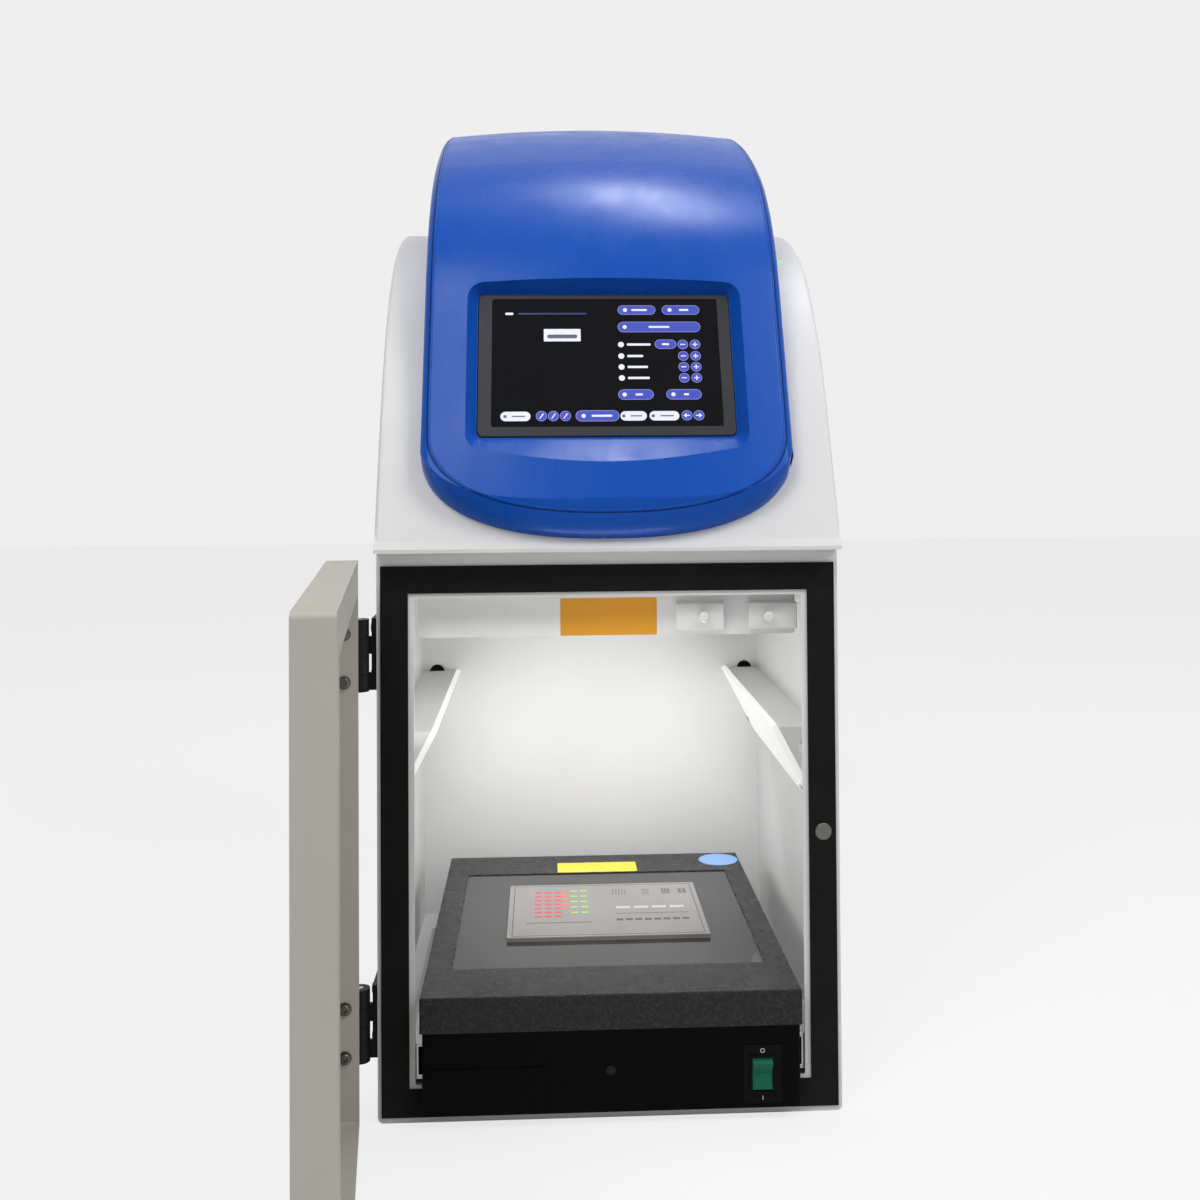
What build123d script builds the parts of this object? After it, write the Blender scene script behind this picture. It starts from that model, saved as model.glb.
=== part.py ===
# Bench gel documentation system: a white darkroom cabinet with a hinged door, a sloped
# hood, a moulded cover with a touch screen over it, and a transilluminator on slide rails.
# Millimetres, +X right, +Y back, +Z up. The origin is the middle of the cabinet's underside.
# The model is built with y = 0 at the cabinet's front plane and moved to the origin at the end.

from build123d import *
import math
import os

# Cabinet
CABINET_WIDTH = 310
CABINET_DEPTH = 360
CABINET_HEIGHT = 377.5
SHEET = 1.5
BEND_RADIUS = 4
FRAME_SIDE = 24.8
FRAME_BOTTOM = 24.5
FRAME_TOP = 31
OPENING_CORNER = 2
SEAT_GAP = 0.3

# Foam gasket round the opening
GASKET_WIDTH = 18.3
GASKET_THICKNESS = 1.5
GASKET_SIDE_MARGIN = 2.6
GASKET_BOTTOM_MARGIN = 4
GASKET_TOP_MARGIN = 9.5

# Panels inside the cabinet
REAR_GAP = 12
FLOOR_LEVEL = 23
CEILING_LEVEL = 352
CEILING_FLANGE = 12
CAMERA_APERTURE_RADIUS = 40
CAMERA_Y = 145
CABLE_HOLE_X = 141.5
CABLE_HOLE_Z = 244
CABLE_HOLE_RADIUS = 5.6
GROMMET_FLANGE = 1
GROMMET_THICKNESS = 1.2
GROMMET_BORE = 3.6
VENT_SLOT_LENGTH = 60
VENT_SLOT_WIDTH = 3
VENT_SLOT_PITCH = 8
VENT_SLOT_COUNT = 8

# Header panel with the two door switches
HEADER_Y = 16
HEADER_BOTTOM = 318
HEADER_HALF_WIDTH = 129
HEADER_CORNER = 3
HEADER_FLANGE = 30
SWITCH_X = (63, 112.8)
PLUNGER_X = (64.8, 109)
SWITCH_Z = 331
SWITCH_WIDTH = 33
SWITCH_HEIGHT = 18
SWITCH_BEZEL = 6
SWITCH_BODY_WIDTH = 26
SWITCH_BODY_HEIGHT = 14
SWITCH_BODY_DEPTH = 20
PANEL_CLEARANCE = 0.2
PLUNGER_RADIUS = 3.7
RUNNING_CLEARANCE = 0.05
PLUNGER_REACH = 9.2
PLUNGER_LENGTH = 24
PLUNGER_TRAVEL = 5

# Two side lamps
LAMP_WIDTH = 29
LAMP_TOP = 245
LAMP_DROP = 56
LAMP_FRONT = 62
LAMP_SHEET = 1.2
LAMP_BACK_GAP = 2
DIFFUSER_THICKNESS = 4
DIFFUSER_PROUD = 2
LAMP_HOLE_RADIUS = 5.5
LAMP_HOLE_X = 9
LAMP_HOLE_DROP = 15
LED_STRIP_WIDTH = 20
LED_BOARD = 1.6
LED_SIZE = 5
LED_HEIGHT = 1.5
LED_COUNT = 12
LAMP_SCREW_RADIUS = 2.5
LAMP_SCREW_HEIGHT = 1.6
LAMP_SCREW_INSET = 14

# Magnetic catch on the right gasket
CATCH_X = 143.8
CATCH_Z = 186.8
CATCH_RADIUS = 5.7
CATCH_PROUD = 0.3
CATCH_SHANK_RADIUS = 4
CATCH_SHANK_LENGTH = 8
CATCH_CLEARANCE = 0.2

# Door, drawn closed and then swung open about its hinge pin
DOOR_WIDTH = 308
DOOR_BOTTOM = 7
DOOR_TOP = 373.5
DOOR_THICKNESS = 20.4
DOOR_FLANGE = 22
DOOR_CORNER = 3
DOOR_GAP = 0.7
DOOR_OPEN_ANGLE = 84

# Door hinges
HINGE_PIN_X = -166
HINGE_PIN_SETBACK = 0.4
HINGE_Z = (66.5, 309.5)
HINGE_HEIGHT = 48
HINGE_LEAF = 3.5
HINGE_LEAF_LENGTH = 28
HINGE_DOOR_LEAF_LENGTH = 16
HINGE_LEAF_SETBACK = 3.8
KNUCKLE_RADIUS = 6.4
KNUCKLE_COUNT = 4
KNUCKLE_GAP = 0.3
HINGE_PIN_RADIUS = 2
HINGE_SCREW_SPACING = 31.5
HINGE_SCREW_RADIUS = 2
HINGE_SCREW_HEAD_RADIUS = 3.4
HINGE_SCREW_HEAD = 2.2
HINGE_SOCKET_RADIUS = 1.6
WASHER_RADIUS = 4.4
WASHER_THICKNESS = 0.8
SCREW_HOLE_CLEARANCE = 0.1

# White sloped hood: points of its side profile, front lip to the back
HOOD_WALL = 2.5
HOOD_LIP_Y = -17
HOOD_LIP_HEIGHT = 2.5
HOOD_PROFILE = (
    (-13.6, 385), (9, 438), (43, 508), (77, 555), (118, 590), (156, 608), (205, 622), (262, 630), (300, 632),
)
HOOD_EDGE_RADIUS = 3
HOOD_RETURN = 20
HOOD_INNER_STEPS = 8

# Moulded cover that runs up the hood and over the top
COVER_WIDTH = 251
COVER_SLOPE = 68
COVER_FRONT_POINT = (10.5, 508.3)
COVER_SLOPE_TOP = 565
COVER_BENDS = ((207, 30), (551, 13.6), (259, 0))
COVER_CROWN = 7
COVER_EDGE_RADIUS = 8
COVER_DEPTH = 105
COVER_WALL = 5
COVER_HOLLOW_FRONT = 75

# Rounded foot of the cover, measured along its front slope
FOOT_HALF_WIDTH = 126
FOOT_LIFT = 1
FOOT_RISE = 65
FOOT_POWER = 2.4
FOOT_RIM = 20
FOOT_RIM_DEPTHS = (24, 16, 9, 4, 0, -1.5)
FOOT_RIM_REACH = 27
FOOT_POINTS = 12

# Screen set into the cover
SCREEN_CENTRE = (22.5, 504)
BEZEL_WIDTH = 175.8
BEZEL_HEIGHT = 108.6
BEZEL_CORNER = 4
BEZEL_THICKNESS = 6
BEZEL_PROUD = 1
WINDOW_WIDTH = 158
WINDOW_HEIGHT = 97.7
WINDOW_SHIFT = (0.5, 1.6)
WINDOW_CORNER = 1.5
GLASS_SINK = 0.6
GLASS_THICKNESS = 1.4
GLASS_BORDER = 2
DISPLAY_THICKNESS = 9
DISPLAY_BORDER = 1.7
POCKET_HALF_WIDTH = 100
POCKET_TOP = 62
POCKET_SIDE_BOTTOM = -71
POCKET_BOTTOM = -81
POCKET_CORNER = 16
POCKET_RISE = 15
POCKET_STEP = 1
POCKET_GAP = 0.4

# Green lamp on the hood's right shoulder
STATUS_LED_X = 137.5
STATUS_LED_Y = 114
STATUS_LED_RADIUS = 2
STATUS_LED_PROUD = 0.8

# Camera over the ceiling's opening
CAMERA_WIDTH = 52
CAMERA_BODY_HEIGHT = 62
LENS_BOTTOM = 366
LENS_RINGS = ((30, 10), (27, 22), (29, 16), (26, 26), (22, 34))
BRACKET_HALF_WIDTH = 62
BRACKET_DEPTH = 70
BRACKET_SHEET = 3
FILTER_THICKNESS = 4
FILTER_RING_WIDTH = 6
FILTER_RING_HEIGHT = 7

# Boards inside the hood
BOARD_SIZE = (150, 90)
BOARD_PLACE = (30, 540)
BOARD_THICKNESS = 1.6
STANDOFF_HEIGHT = 8
STANDOFF_RADIUS = 3
HEATSINK_SIZE = (40, 40, 14)
HEATSINK_FINS = 7
SUPPLY_SIZE = (60, 110, 38)
SUPPLY_PLACE = (-112, 520)

# Sockets on the back
INLET_SIZE = (30, 27)
INLET_FLANGE = (50, 34)
INLET_DEPTH = 22
INLET_POS = (-95, 430)
INLET_WALL = 3
INLET_LIP = 2.5
PIN_SIZE = (2, 12, 4.5)
PIN_SPACING = 7
USB_SIZE = (13.5, 6)
USB_DEPTH = 14
USB_COUNT = 4
USB_PITCH = 20
USB_POS = (40, 430)
USB_WALL = 1

# Transilluminator
UNIT_WIDTH = 249.6
UNIT_FRONT = -12.2
UNIT_DEPTH = 313.5
UNIT_BOTTOM = 27
UNIT_FRONT_BOTTOM = 10
UNIT_FRONT_THICKNESS = 9.7
UNIT_WALL = 2
LID_TOP = 86
LID_SKIRT = 23
LID_OVERHANG = 1.7
LID_FRONT_OVERHANG = 0.5
LID_EDGE_RADIUS = 1.2
GLASS_X = (-108.7, 109.7)
GLASS_Y = (38, 252)
FILTER_GLASS = 5
FILTER_SINK = 0.8
FILTER_LEDGE = 6
GLASS_GAP = 0.2
TUBE_RADIUS = 8
TUBE_COUNT = 6
TUBE_PITCH = 33
TUBE_CAP_RADIUS = 8.6
TUBE_CAP_LENGTH = 10
REFLECTOR_GAP = 3
REFLECTOR_SHEET = 1
BALLAST_SIZE = (60, 200, 16)
CARD_SIZE = (150, 122.5)
CARD_CENTRE = (3, 152)
CARD_THICKNESS = 3
CARD_CORNER = 1
BLANK_PLATE = (77, 29.5)
BLANK_PLATE_THICKNESS = 0.6
BLANK_PLATE_POS = (-81, 25)
PILOT_SCREW_POS = (-1, 36.4)
PILOT_SCREW_RADIUS = 1.6

# Rocker switch on the transilluminator's front
ROCKER_X = 99.4
ROCKER_Z = 31.4
ROCKER_PLATE = (25.6, 38)
ROCKER_PLATE_THICKNESS = 0.8
ROCKER_RIM = 1.6
ROCKER_RIM_PROUD = 1
ROCKER_APERTURE = (13.8, 22)
ROCKER_CLEARANCE = 0.4
ROCKER_WALL = 1.5
ROCKER_PIVOT_DEPTH = 3.2
ROCKER_HOUSING_DEPTH = 8.2
ROCKER_CREST = 5.4
ROCKER_DIP = 1.6
ROCKER_BACK = 1.6
ROCKER_TILT = 9
ROCKER_AXLE_RADIUS = 1.1
ROCKER_AXLE_LENGTH = 1

# Slide rails beside the transilluminator
RAIL_HEIGHT = 24
RAIL_BOTTOM = 27
RAIL_SHEET = 1.2
RAIL_WIDTH = 5
RAIL_START = 4
RAIL_LENGTH = 300
RAIL_RUNNING_GAP = 0.3
RAIL_SPACE = 6.7
BRACKET_FOOT = 12
DRAWER_TRAVEL = 200

HALF = CABINET_WIDTH / 2
INNER = HALF - SHEET
BACK_FACE = CABINET_DEPTH - 2 * SHEET - REAR_GAP
OPENING_HALF = HALF - FRAME_SIDE
OPENING_TOP = CABINET_HEIGHT - FRAME_TOP
RIM_Y = -GASKET_THICKNESS - DOOR_GAP
HINGE_PIN_Y = RIM_Y + HINGE_PIN_SETBACK
SLOPE_UP = Vector(0, math.cos(math.radians(COVER_SLOPE)), math.sin(math.radians(COVER_SLOPE)))
SLOPE_OUT = Vector(0, -math.sin(math.radians(COVER_SLOPE)), math.cos(math.radians(COVER_SLOPE)))


def block(x0, x1, y0, y1, z0, z1):
    """A box between two corners."""
    return Pos((x0 + x1) / 2, (y0 + y1) / 2, (z0 + z1) / 2) * Box(abs(x1 - x0), abs(y1 - y0), abs(z1 - z0))


def rod(x, z, y0, y1, radius):
    """A round bar along y."""
    return Pos(x, (y0 + y1) / 2, z) * Rot(90, 0, 0) * Cylinder(radius, abs(y1 - y0))


def post(x, y, z0, z1, radius):
    """A round bar along z."""
    return Pos(x, y, (z0 + z1) / 2) * Cylinder(radius, z1 - z0)


def cross_rod(y, z, x0, x1, radius):
    """A round bar along x."""
    return Pos((x0 + x1) / 2, y, z) * Rot(0, 90, 0) * Cylinder(radius, abs(x1 - x0))


def side_profile(points):
    """A face in the side view from (y, z) points."""
    return make_face(Polyline(*[(0, y, z) for y, z in points], close=True))


def across(face, half):
    """A side view face extruded to both sides."""
    return extrude(face, amount=half, dir=(1, 0, 0), both=True)


def front_face(points, y):
    """A face in the front view at depth y from (x, z) points."""
    return make_face(Polyline(*[(x, y, z) for x, z in points], close=True))


def backwards(face, length):
    """A front view face extruded to the back."""
    return extrude(face, amount=length, dir=(0, 1, 0))


def mirrored(shape):
    """The same piece on the other side."""
    return mirror(shape, about=Plane.YZ)


def cut_all(shape, cutters):
    """The shape with each cutter taken away."""
    for cutter in cutters:
        shape = shape - cutter
    return shape


def add_all(shapes):
    """One shape from several that touch."""
    total = shapes[0]
    for shape in shapes[1:]:
        total = total + shape
    return total


# Cabinet shell, a folded sheet with a framed front opening
def cabinet_outline(inset):
    """A solid of the cabinet's front view with its two rounded lower corners."""
    x = HALF - inset
    body = block(-x, x, 0, CABINET_DEPTH, inset, CABINET_HEIGHT)
    return fillet(body.edges().filter_by(Axis.Y).group_by(Axis.Z)[0], BEND_RADIUS - inset)


def opening_cutter():
    """The front opening, with small round corners."""
    opening = block(-OPENING_HALF, OPENING_HALF, -SHEET, 2 * SHEET, FRAME_BOTTOM, OPENING_TOP)
    return fillet(opening.edges().filter_by(Axis.Y), OPENING_CORNER)


def hinge_screw_places():
    """Heights of the hinge screws."""
    return [z + side * HINGE_SCREW_SPACING / 2 for z in HINGE_Z for side in (-1, 1)]


LEAF_START = HINGE_PIN_Y + HINGE_LEAF_SETBACK
LEAF_SCREW_Y = LEAF_START + HINGE_LEAF_LENGTH * 0.6
DOOR_LEAF_END = RIM_Y - 1.2
DOOR_SCREW_Y = DOOR_LEAF_END - HINGE_DOOR_LEAF_LENGTH / 2

shell = cabinet_outline(0) - Pos(0, SHEET, 0) * cabinet_outline(SHEET) - opening_cutter()
shell = shell - rod(CATCH_X, CATCH_Z, -SHEET, 2 * SHEET, CATCH_SHANK_RADIUS + SCREW_HOLE_CLEARANCE)
shell = cut_all(
    shell,
    [
        cross_rod(LEAF_SCREW_Y, z, -HALF - 1, -INNER + 1, HINGE_SCREW_RADIUS + SCREW_HOLE_CLEARANCE)
        for z in hinge_screw_places()
    ],
)

# Foam strips on the frame
gasket_out = HALF - GASKET_SIDE_MARGIN
gasket_in = gasket_out - GASKET_WIDTH
gasket_low = GASKET_BOTTOM_MARGIN
gasket_high = CABINET_HEIGHT - GASKET_TOP_MARGIN
gasket_right = block(gasket_in, gasket_out, -GASKET_THICKNESS, 0, gasket_low, gasket_high)
gasket_left = mirrored(gasket_right)
gasket_right = gasket_right - rod(CATCH_X, CATCH_Z, -2 * GASKET_THICKNESS, SHEET, CATCH_RADIUS + CATCH_CLEARANCE)
gasket_bottom = block(-gasket_in, gasket_in, -GASKET_THICKNESS, 0, gasket_low, gasket_low + GASKET_WIDTH)
gasket_top = block(-gasket_in, gasket_in, -GASKET_THICKNESS, 0, gasket_high - GASKET_WIDTH, gasket_high)

# Chrome catch magnet
catch_head = rod(CATCH_X, CATCH_Z, -GASKET_THICKNESS - CATCH_PROUD, 0, CATCH_RADIUS)
catch_head = chamfer(catch_head.faces().sort_by(Axis.Y)[0].edges(), CATCH_PROUD)
catch_magnet = catch_head + rod(CATCH_X, CATCH_Z, 0, CATCH_SHANK_LENGTH, CATCH_SHANK_RADIUS)

# Floor, back wall and ceiling of the darkroom
floor_panel = (
    block(-INNER, INNER, SHEET, BACK_FACE, FLOOR_LEVEL - SHEET, FLOOR_LEVEL)
    + block(-INNER + BEND_RADIUS, INNER - BEND_RADIUS, SHEET, 2 * SHEET, SHEET, FLOOR_LEVEL)
    + block(-INNER + BEND_RADIUS, INNER - BEND_RADIUS, BACK_FACE - SHEET, BACK_FACE, SHEET, FLOOR_LEVEL)
)


def wall_sheet(y0):
    """A sheet that fills the cabinet's outline from side to side."""
    return cabinet_outline(SHEET) & block(-HALF, HALF, y0, y0 + SHEET, 0, CABINET_HEIGHT)


back_panel = wall_sheet(BACK_FACE)
back_panel = cut_all(
    back_panel,
    [
        rod(side * CABLE_HOLE_X, CABLE_HOLE_Z, BACK_FACE - SHEET, BACK_FACE + 2 * SHEET, CABLE_HOLE_RADIUS)
        for side in (-1, 1)
    ],
)


def vent_slots(x, z, y):
    """Cutters for a stack of round-ended vent slots."""
    span = (VENT_SLOT_COUNT - 1) * VENT_SLOT_PITCH
    slot = backwards(Plane.XZ * SlotOverall(VENT_SLOT_LENGTH, VENT_SLOT_WIDTH), 4 * SHEET)
    return [Pos(x, y - SHEET, z - span / 2 + i * VENT_SLOT_PITCH) * slot for i in range(VENT_SLOT_COUNT)]


rear_panel = wall_sheet(CABINET_DEPTH - SHEET)
rear_panel = cut_all(
    rear_panel, vent_slots(-INNER / 2, CABINET_HEIGHT / 2, CABINET_DEPTH - SHEET)
    + vent_slots(INNER / 2, CABINET_HEIGHT / 2, CABINET_DEPTH - SHEET)
)


def grommet(side):
    """A rubber grommet: a flange on the wall's face, a neck in its hole, and a blind bore."""
    x = side * CABLE_HOLE_X
    body = rod(x, CABLE_HOLE_Z, BACK_FACE - GROMMET_THICKNESS, BACK_FACE, CABLE_HOLE_RADIUS + GROMMET_FLANGE)
    body = body + rod(x, CABLE_HOLE_Z, BACK_FACE, BACK_FACE + SHEET, CABLE_HOLE_RADIUS)
    return body - rod(x, CABLE_HOLE_Z, BACK_FACE - 2 * GROMMET_THICKNESS, BACK_FACE + SHEET / 2, GROMMET_BORE)


cable_grommets = [grommet(-1), grommet(1)]

ceiling_panel = block(-INNER, INNER, SHEET, BACK_FACE, CEILING_LEVEL, CEILING_LEVEL + SHEET)
ceiling_edge = block(INNER - SHEET, INNER, SHEET, BACK_FACE, CEILING_LEVEL, CEILING_LEVEL + CEILING_FLANGE)
ceiling_panel = ceiling_panel + ceiling_edge + mirrored(ceiling_edge)
ceiling_panel = ceiling_panel - post(
    0, CAMERA_Y, CEILING_LEVEL - SHEET, CEILING_LEVEL + 2 * SHEET, CAMERA_APERTURE_RADIUS
)

# Header panel and door switches
header = block(
    -HEADER_HALF_WIDTH, HEADER_HALF_WIDTH, HEADER_Y, HEADER_Y + SHEET, HEADER_BOTTOM, CEILING_LEVEL
)
header = fillet(
    header.edges().filter_by(Axis.Y).group_by(Axis.Z)[0], HEADER_CORNER
)
header = header + block(
    -HEADER_HALF_WIDTH, HEADER_HALF_WIDTH, HEADER_Y, HEADER_Y + HEADER_FLANGE, CEILING_LEVEL - SHEET, CEILING_LEVEL
)


def switch_housing(x, plunger_x):
    """A door switch: bezel in front of the header, body behind it, and a blind bore."""
    bezel = block(
        x - SWITCH_WIDTH / 2, x + SWITCH_WIDTH / 2, HEADER_Y - SWITCH_BEZEL, HEADER_Y,
        SWITCH_Z - SWITCH_HEIGHT / 2, SWITCH_Z + SWITCH_HEIGHT / 2,
    )
    bezel = fillet(bezel.faces().sort_by(Axis.Y)[0].edges(), 1)
    body = block(
        x - SWITCH_BODY_WIDTH / 2, x + SWITCH_BODY_WIDTH / 2, HEADER_Y, HEADER_Y + SWITCH_BODY_DEPTH,
        SWITCH_Z - SWITCH_BODY_HEIGHT / 2, SWITCH_Z + SWITCH_BODY_HEIGHT / 2,
    )
    bore_end = HEADER_Y - SWITCH_BEZEL - PLUNGER_REACH + PLUNGER_LENGTH + PLUNGER_TRAVEL + 1
    return bezel + body - rod(
        plunger_x, SWITCH_Z, HEADER_Y - SWITCH_BEZEL - 1, bore_end, PLUNGER_RADIUS + RUNNING_CLEARANCE
    )


def switch_cutout(x):
    """The header's hole for a switch body."""
    return block(
        x - SWITCH_BODY_WIDTH / 2 - PANEL_CLEARANCE, x + SWITCH_BODY_WIDTH / 2 + PANEL_CLEARANCE,
        HEADER_Y - SHEET, HEADER_Y + 2 * SHEET,
        SWITCH_Z - SWITCH_BODY_HEIGHT / 2 - PANEL_CLEARANCE, SWITCH_Z + SWITCH_BODY_HEIGHT / 2 + PANEL_CLEARANCE,
    )


def plunger(x):
    """A round-nosed push rod."""
    tip = HEADER_Y - SWITCH_BEZEL - PLUNGER_REACH
    pin = rod(x, SWITCH_Z, tip, tip + PLUNGER_LENGTH, PLUNGER_RADIUS)
    return fillet(pin.faces().sort_by(Axis.Y)[0].edges(), PLUNGER_RADIUS * 0.6)


header_panel = cut_all(header, [switch_cutout(x) for x in SWITCH_X])
door_switches = [switch_housing(x, px) for x, px in zip(SWITCH_X, PLUNGER_X)]
plungers = [plunger(x) for x in PLUNGER_X]

# Side lamps, drawn for the right wall
LAMP_OUT = INNER
LAMP_IN = INNER - LAMP_WIDTH
LAMP_END = BACK_FACE - LAMP_BACK_GAP
LAMP_LOW = LAMP_TOP - LAMP_DROP
lamp_slope = Vector(-LAMP_WIDTH, 0, LAMP_DROP).normalized()
lamp_normal = Vector(-LAMP_DROP, 0, -LAMP_WIDTH).normalized()


def lamp_triangle(y, length):
    """The lamp's closed triangle, from depth y."""
    return backwards(front_face([(LAMP_OUT, LAMP_TOP), (LAMP_IN, LAMP_TOP), (LAMP_OUT, LAMP_LOW)], y), length)


def lamp_housing():
    """A bent sheet: wall plate, top plate and two end plates, open on its sloping face."""
    outer = lamp_triangle(LAMP_FRONT, LAMP_END - LAMP_FRONT)
    hollow = backwards(
        front_face(
            [
                (LAMP_OUT - LAMP_SHEET, LAMP_TOP - LAMP_SHEET),
                (LAMP_IN - LAMP_WIDTH, LAMP_TOP - LAMP_SHEET),
                (LAMP_OUT - LAMP_SHEET, LAMP_LOW - LAMP_DROP),
            ],
            LAMP_FRONT + LAMP_SHEET,
        ),
        LAMP_END - LAMP_FRONT - 2 * LAMP_SHEET,
    )
    hole = rod(
        LAMP_OUT - LAMP_HOLE_X, LAMP_TOP - LAMP_HOLE_DROP, LAMP_FRONT - 1, LAMP_FRONT + 2 * LAMP_SHEET,
        LAMP_HOLE_RADIUS,
    )
    return outer - hollow - hole


def lamp_diffuser():
    """The frosted plate on the sloping face, a little proud of the top plate."""
    low = Vector(LAMP_OUT, 0, LAMP_LOW)
    high = Vector(LAMP_IN, 0, LAMP_TOP) + lamp_slope * DIFFUSER_PROUD
    corners = [low, high, high + lamp_normal * DIFFUSER_THICKNESS, low + lamp_normal * DIFFUSER_THICKNESS]
    return backwards(front_face([(p.X, p.Z) for p in corners], LAMP_FRONT), LAMP_END - LAMP_FRONT)


def led_strip():
    """A board on the wall plate with a row of square lamps."""
    x = LAMP_OUT - LAMP_SHEET
    z = LAMP_TOP - LAMP_SHEET - 2 - LED_STRIP_WIDTH / 2
    y0, y1 = LAMP_FRONT + 4 * LAMP_SHEET, LAMP_END - 4 * LAMP_SHEET
    strip = block(x - LED_BOARD, x, y0, y1, z - LED_STRIP_WIDTH / 2, z + LED_STRIP_WIDTH / 2)
    pitch = (y1 - y0) / LED_COUNT
    return add_all(
        [strip]
        + [
            block(
                x - LED_BOARD - LED_HEIGHT, x - LED_BOARD,
                y0 + (i + 0.5) * pitch - LED_SIZE / 2, y0 + (i + 0.5) * pitch + LED_SIZE / 2,
                z - LED_SIZE / 2, z + LED_SIZE / 2,
            )
            for i in range(LED_COUNT)
        ]
    )


def lamp_screw(y):
    """A screw head on the diffuser's face."""
    middle = Vector(LAMP_OUT, 0, LAMP_LOW) + lamp_slope * LAMP_SCREW_INSET + lamp_normal * DIFFUSER_THICKNESS
    seat = Plane(origin=(middle.X, y, middle.Z), z_dir=lamp_normal)
    head = seat * Pos(0, 0, LAMP_SCREW_HEIGHT / 2) * Cylinder(LAMP_SCREW_RADIUS, LAMP_SCREW_HEIGHT)
    return fillet(head.edges().filter_by(GeomType.CIRCLE).sort_by_distance(seat.origin)[-1], LAMP_SCREW_HEIGHT / 2)


lamp_right = lamp_housing()
diffuser_right = lamp_diffuser()
led_right = led_strip()
screws_right = [lamp_screw(LAMP_FRONT + 10), lamp_screw(LAMP_END - 10)]
lamp_screws = screws_right + [mirrored(s) for s in screws_right]

# Door pan, drawn closed
door_half = DOOR_WIDTH / 2
door_front = RIM_Y - DOOR_THICKNESS
door_shell = block(-door_half, door_half, door_front, RIM_Y, DOOR_BOTTOM, DOOR_TOP)
door_shell = fillet(door_shell.edges().filter_by(Axis.Y), DOOR_CORNER)
door_hollow = block(
    -door_half + SHEET, door_half - SHEET, door_front + SHEET, RIM_Y - SHEET, DOOR_BOTTOM + SHEET, DOOR_TOP - SHEET
)
door_hollow = fillet(door_hollow.edges().filter_by(Axis.Y), DOOR_CORNER - SHEET)
door_mouth = block(
    -door_half + SHEET, door_half - DOOR_FLANGE, RIM_Y - 2 * SHEET, RIM_Y + SHEET,
    DOOR_BOTTOM + SHEET, DOOR_TOP - DOOR_FLANGE,
)
door_pan = door_shell - door_hollow - door_mouth
door_pan = cut_all(
    door_pan,
    [
        cross_rod(DOOR_SCREW_Y, z, -door_half - 1, -door_half + 3, HINGE_SCREW_RADIUS + SCREW_HOLE_CLEARANCE)
        for z in hinge_screw_places()
    ],
)

# Hinges: knuckles alternate between the cabinet's leaf and the door's
knuckle_pitch = HINGE_HEIGHT / KNUCKLE_COUNT


def knuckle(z_middle, index):
    """One knuckle barrel, still without its bore."""
    z0 = z_middle - HINGE_HEIGHT / 2 + index * knuckle_pitch + KNUCKLE_GAP / 2
    return post(HINGE_PIN_X, HINGE_PIN_Y, z0, z0 + knuckle_pitch - KNUCKLE_GAP, KNUCKLE_RADIUS)


def knuckle_arm(z_middle, index, x_end, y0, y1):
    """The strap from a knuckle to its leaf."""
    z0 = z_middle - HINGE_HEIGHT / 2 + index * knuckle_pitch + KNUCKLE_GAP / 2
    return block(HINGE_PIN_X + KNUCKLE_RADIUS / 2, x_end, y0, y1, z0, z0 + knuckle_pitch - KNUCKLE_GAP)


def hinge_bore(z_middle):
    """The bore for the pin through all knuckles."""
    return post(
        HINGE_PIN_X, HINGE_PIN_Y, z_middle - HINGE_HEIGHT, z_middle + HINGE_HEIGHT,
        HINGE_PIN_RADIUS + RUNNING_CLEARANCE,
    )


def screw_bores(y, z_middle, x0, x1):
    """The two bores of a hinge leaf."""
    return [
        cross_rod(y, z_middle + side * HINGE_SCREW_SPACING / 2, x0, x1, HINGE_SCREW_RADIUS + SCREW_HOLE_CLEARANCE)
        for side in (-1, 1)
    ]


def hinge_leaf(z_middle, x0, x1, y0, y1):
    """A plate with rounded far corners."""
    low, high = z_middle - HINGE_HEIGHT / 2, z_middle + HINGE_HEIGHT / 2
    plate = block(x0, x1, y0, y1, low + KNUCKLE_GAP / 2, high - KNUCKLE_GAP / 2)
    far = plate.edges().filter_by(Axis.X).group_by(Axis.Y)[-1 if y1 > 0 else 0]
    return fillet(far, DOOR_CORNER)


def cabinet_leaf(z_middle):
    """The leaf on the cabinet's side wall with the two outer knuckles' partners."""
    leaf = hinge_leaf(z_middle, -HALF - HINGE_LEAF, -HALF, LEAF_START, LEAF_START + HINGE_LEAF_LENGTH)
    for index in range(0, KNUCKLE_COUNT, 2):
        leaf = leaf + knuckle(z_middle, index)
        leaf = leaf + knuckle_arm(z_middle, index, -HALF, LEAF_START, HINGE_PIN_Y + KNUCKLE_RADIUS)
    return cut_all(
        leaf - hinge_bore(z_middle), screw_bores(LEAF_SCREW_Y, z_middle, -HALF - 2 * HINGE_LEAF, -HALF + 1)
    )


def door_leaf(z_middle):
    """The leaf on the closed door's side wall."""
    x1 = -door_half
    leaf = hinge_leaf(z_middle, x1 - HINGE_LEAF, x1, DOOR_LEAF_END - HINGE_DOOR_LEAF_LENGTH, DOOR_LEAF_END)
    for index in range(1, KNUCKLE_COUNT, 2):
        leaf = leaf + knuckle(z_middle, index)
        leaf = leaf + knuckle_arm(z_middle, index, x1, HINGE_PIN_Y - KNUCKLE_RADIUS, DOOR_LEAF_END)
    return cut_all(leaf - hinge_bore(z_middle), screw_bores(DOOR_SCREW_Y, z_middle, x1 - HINGE_LEAF / 2, x1 + 1))


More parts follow.
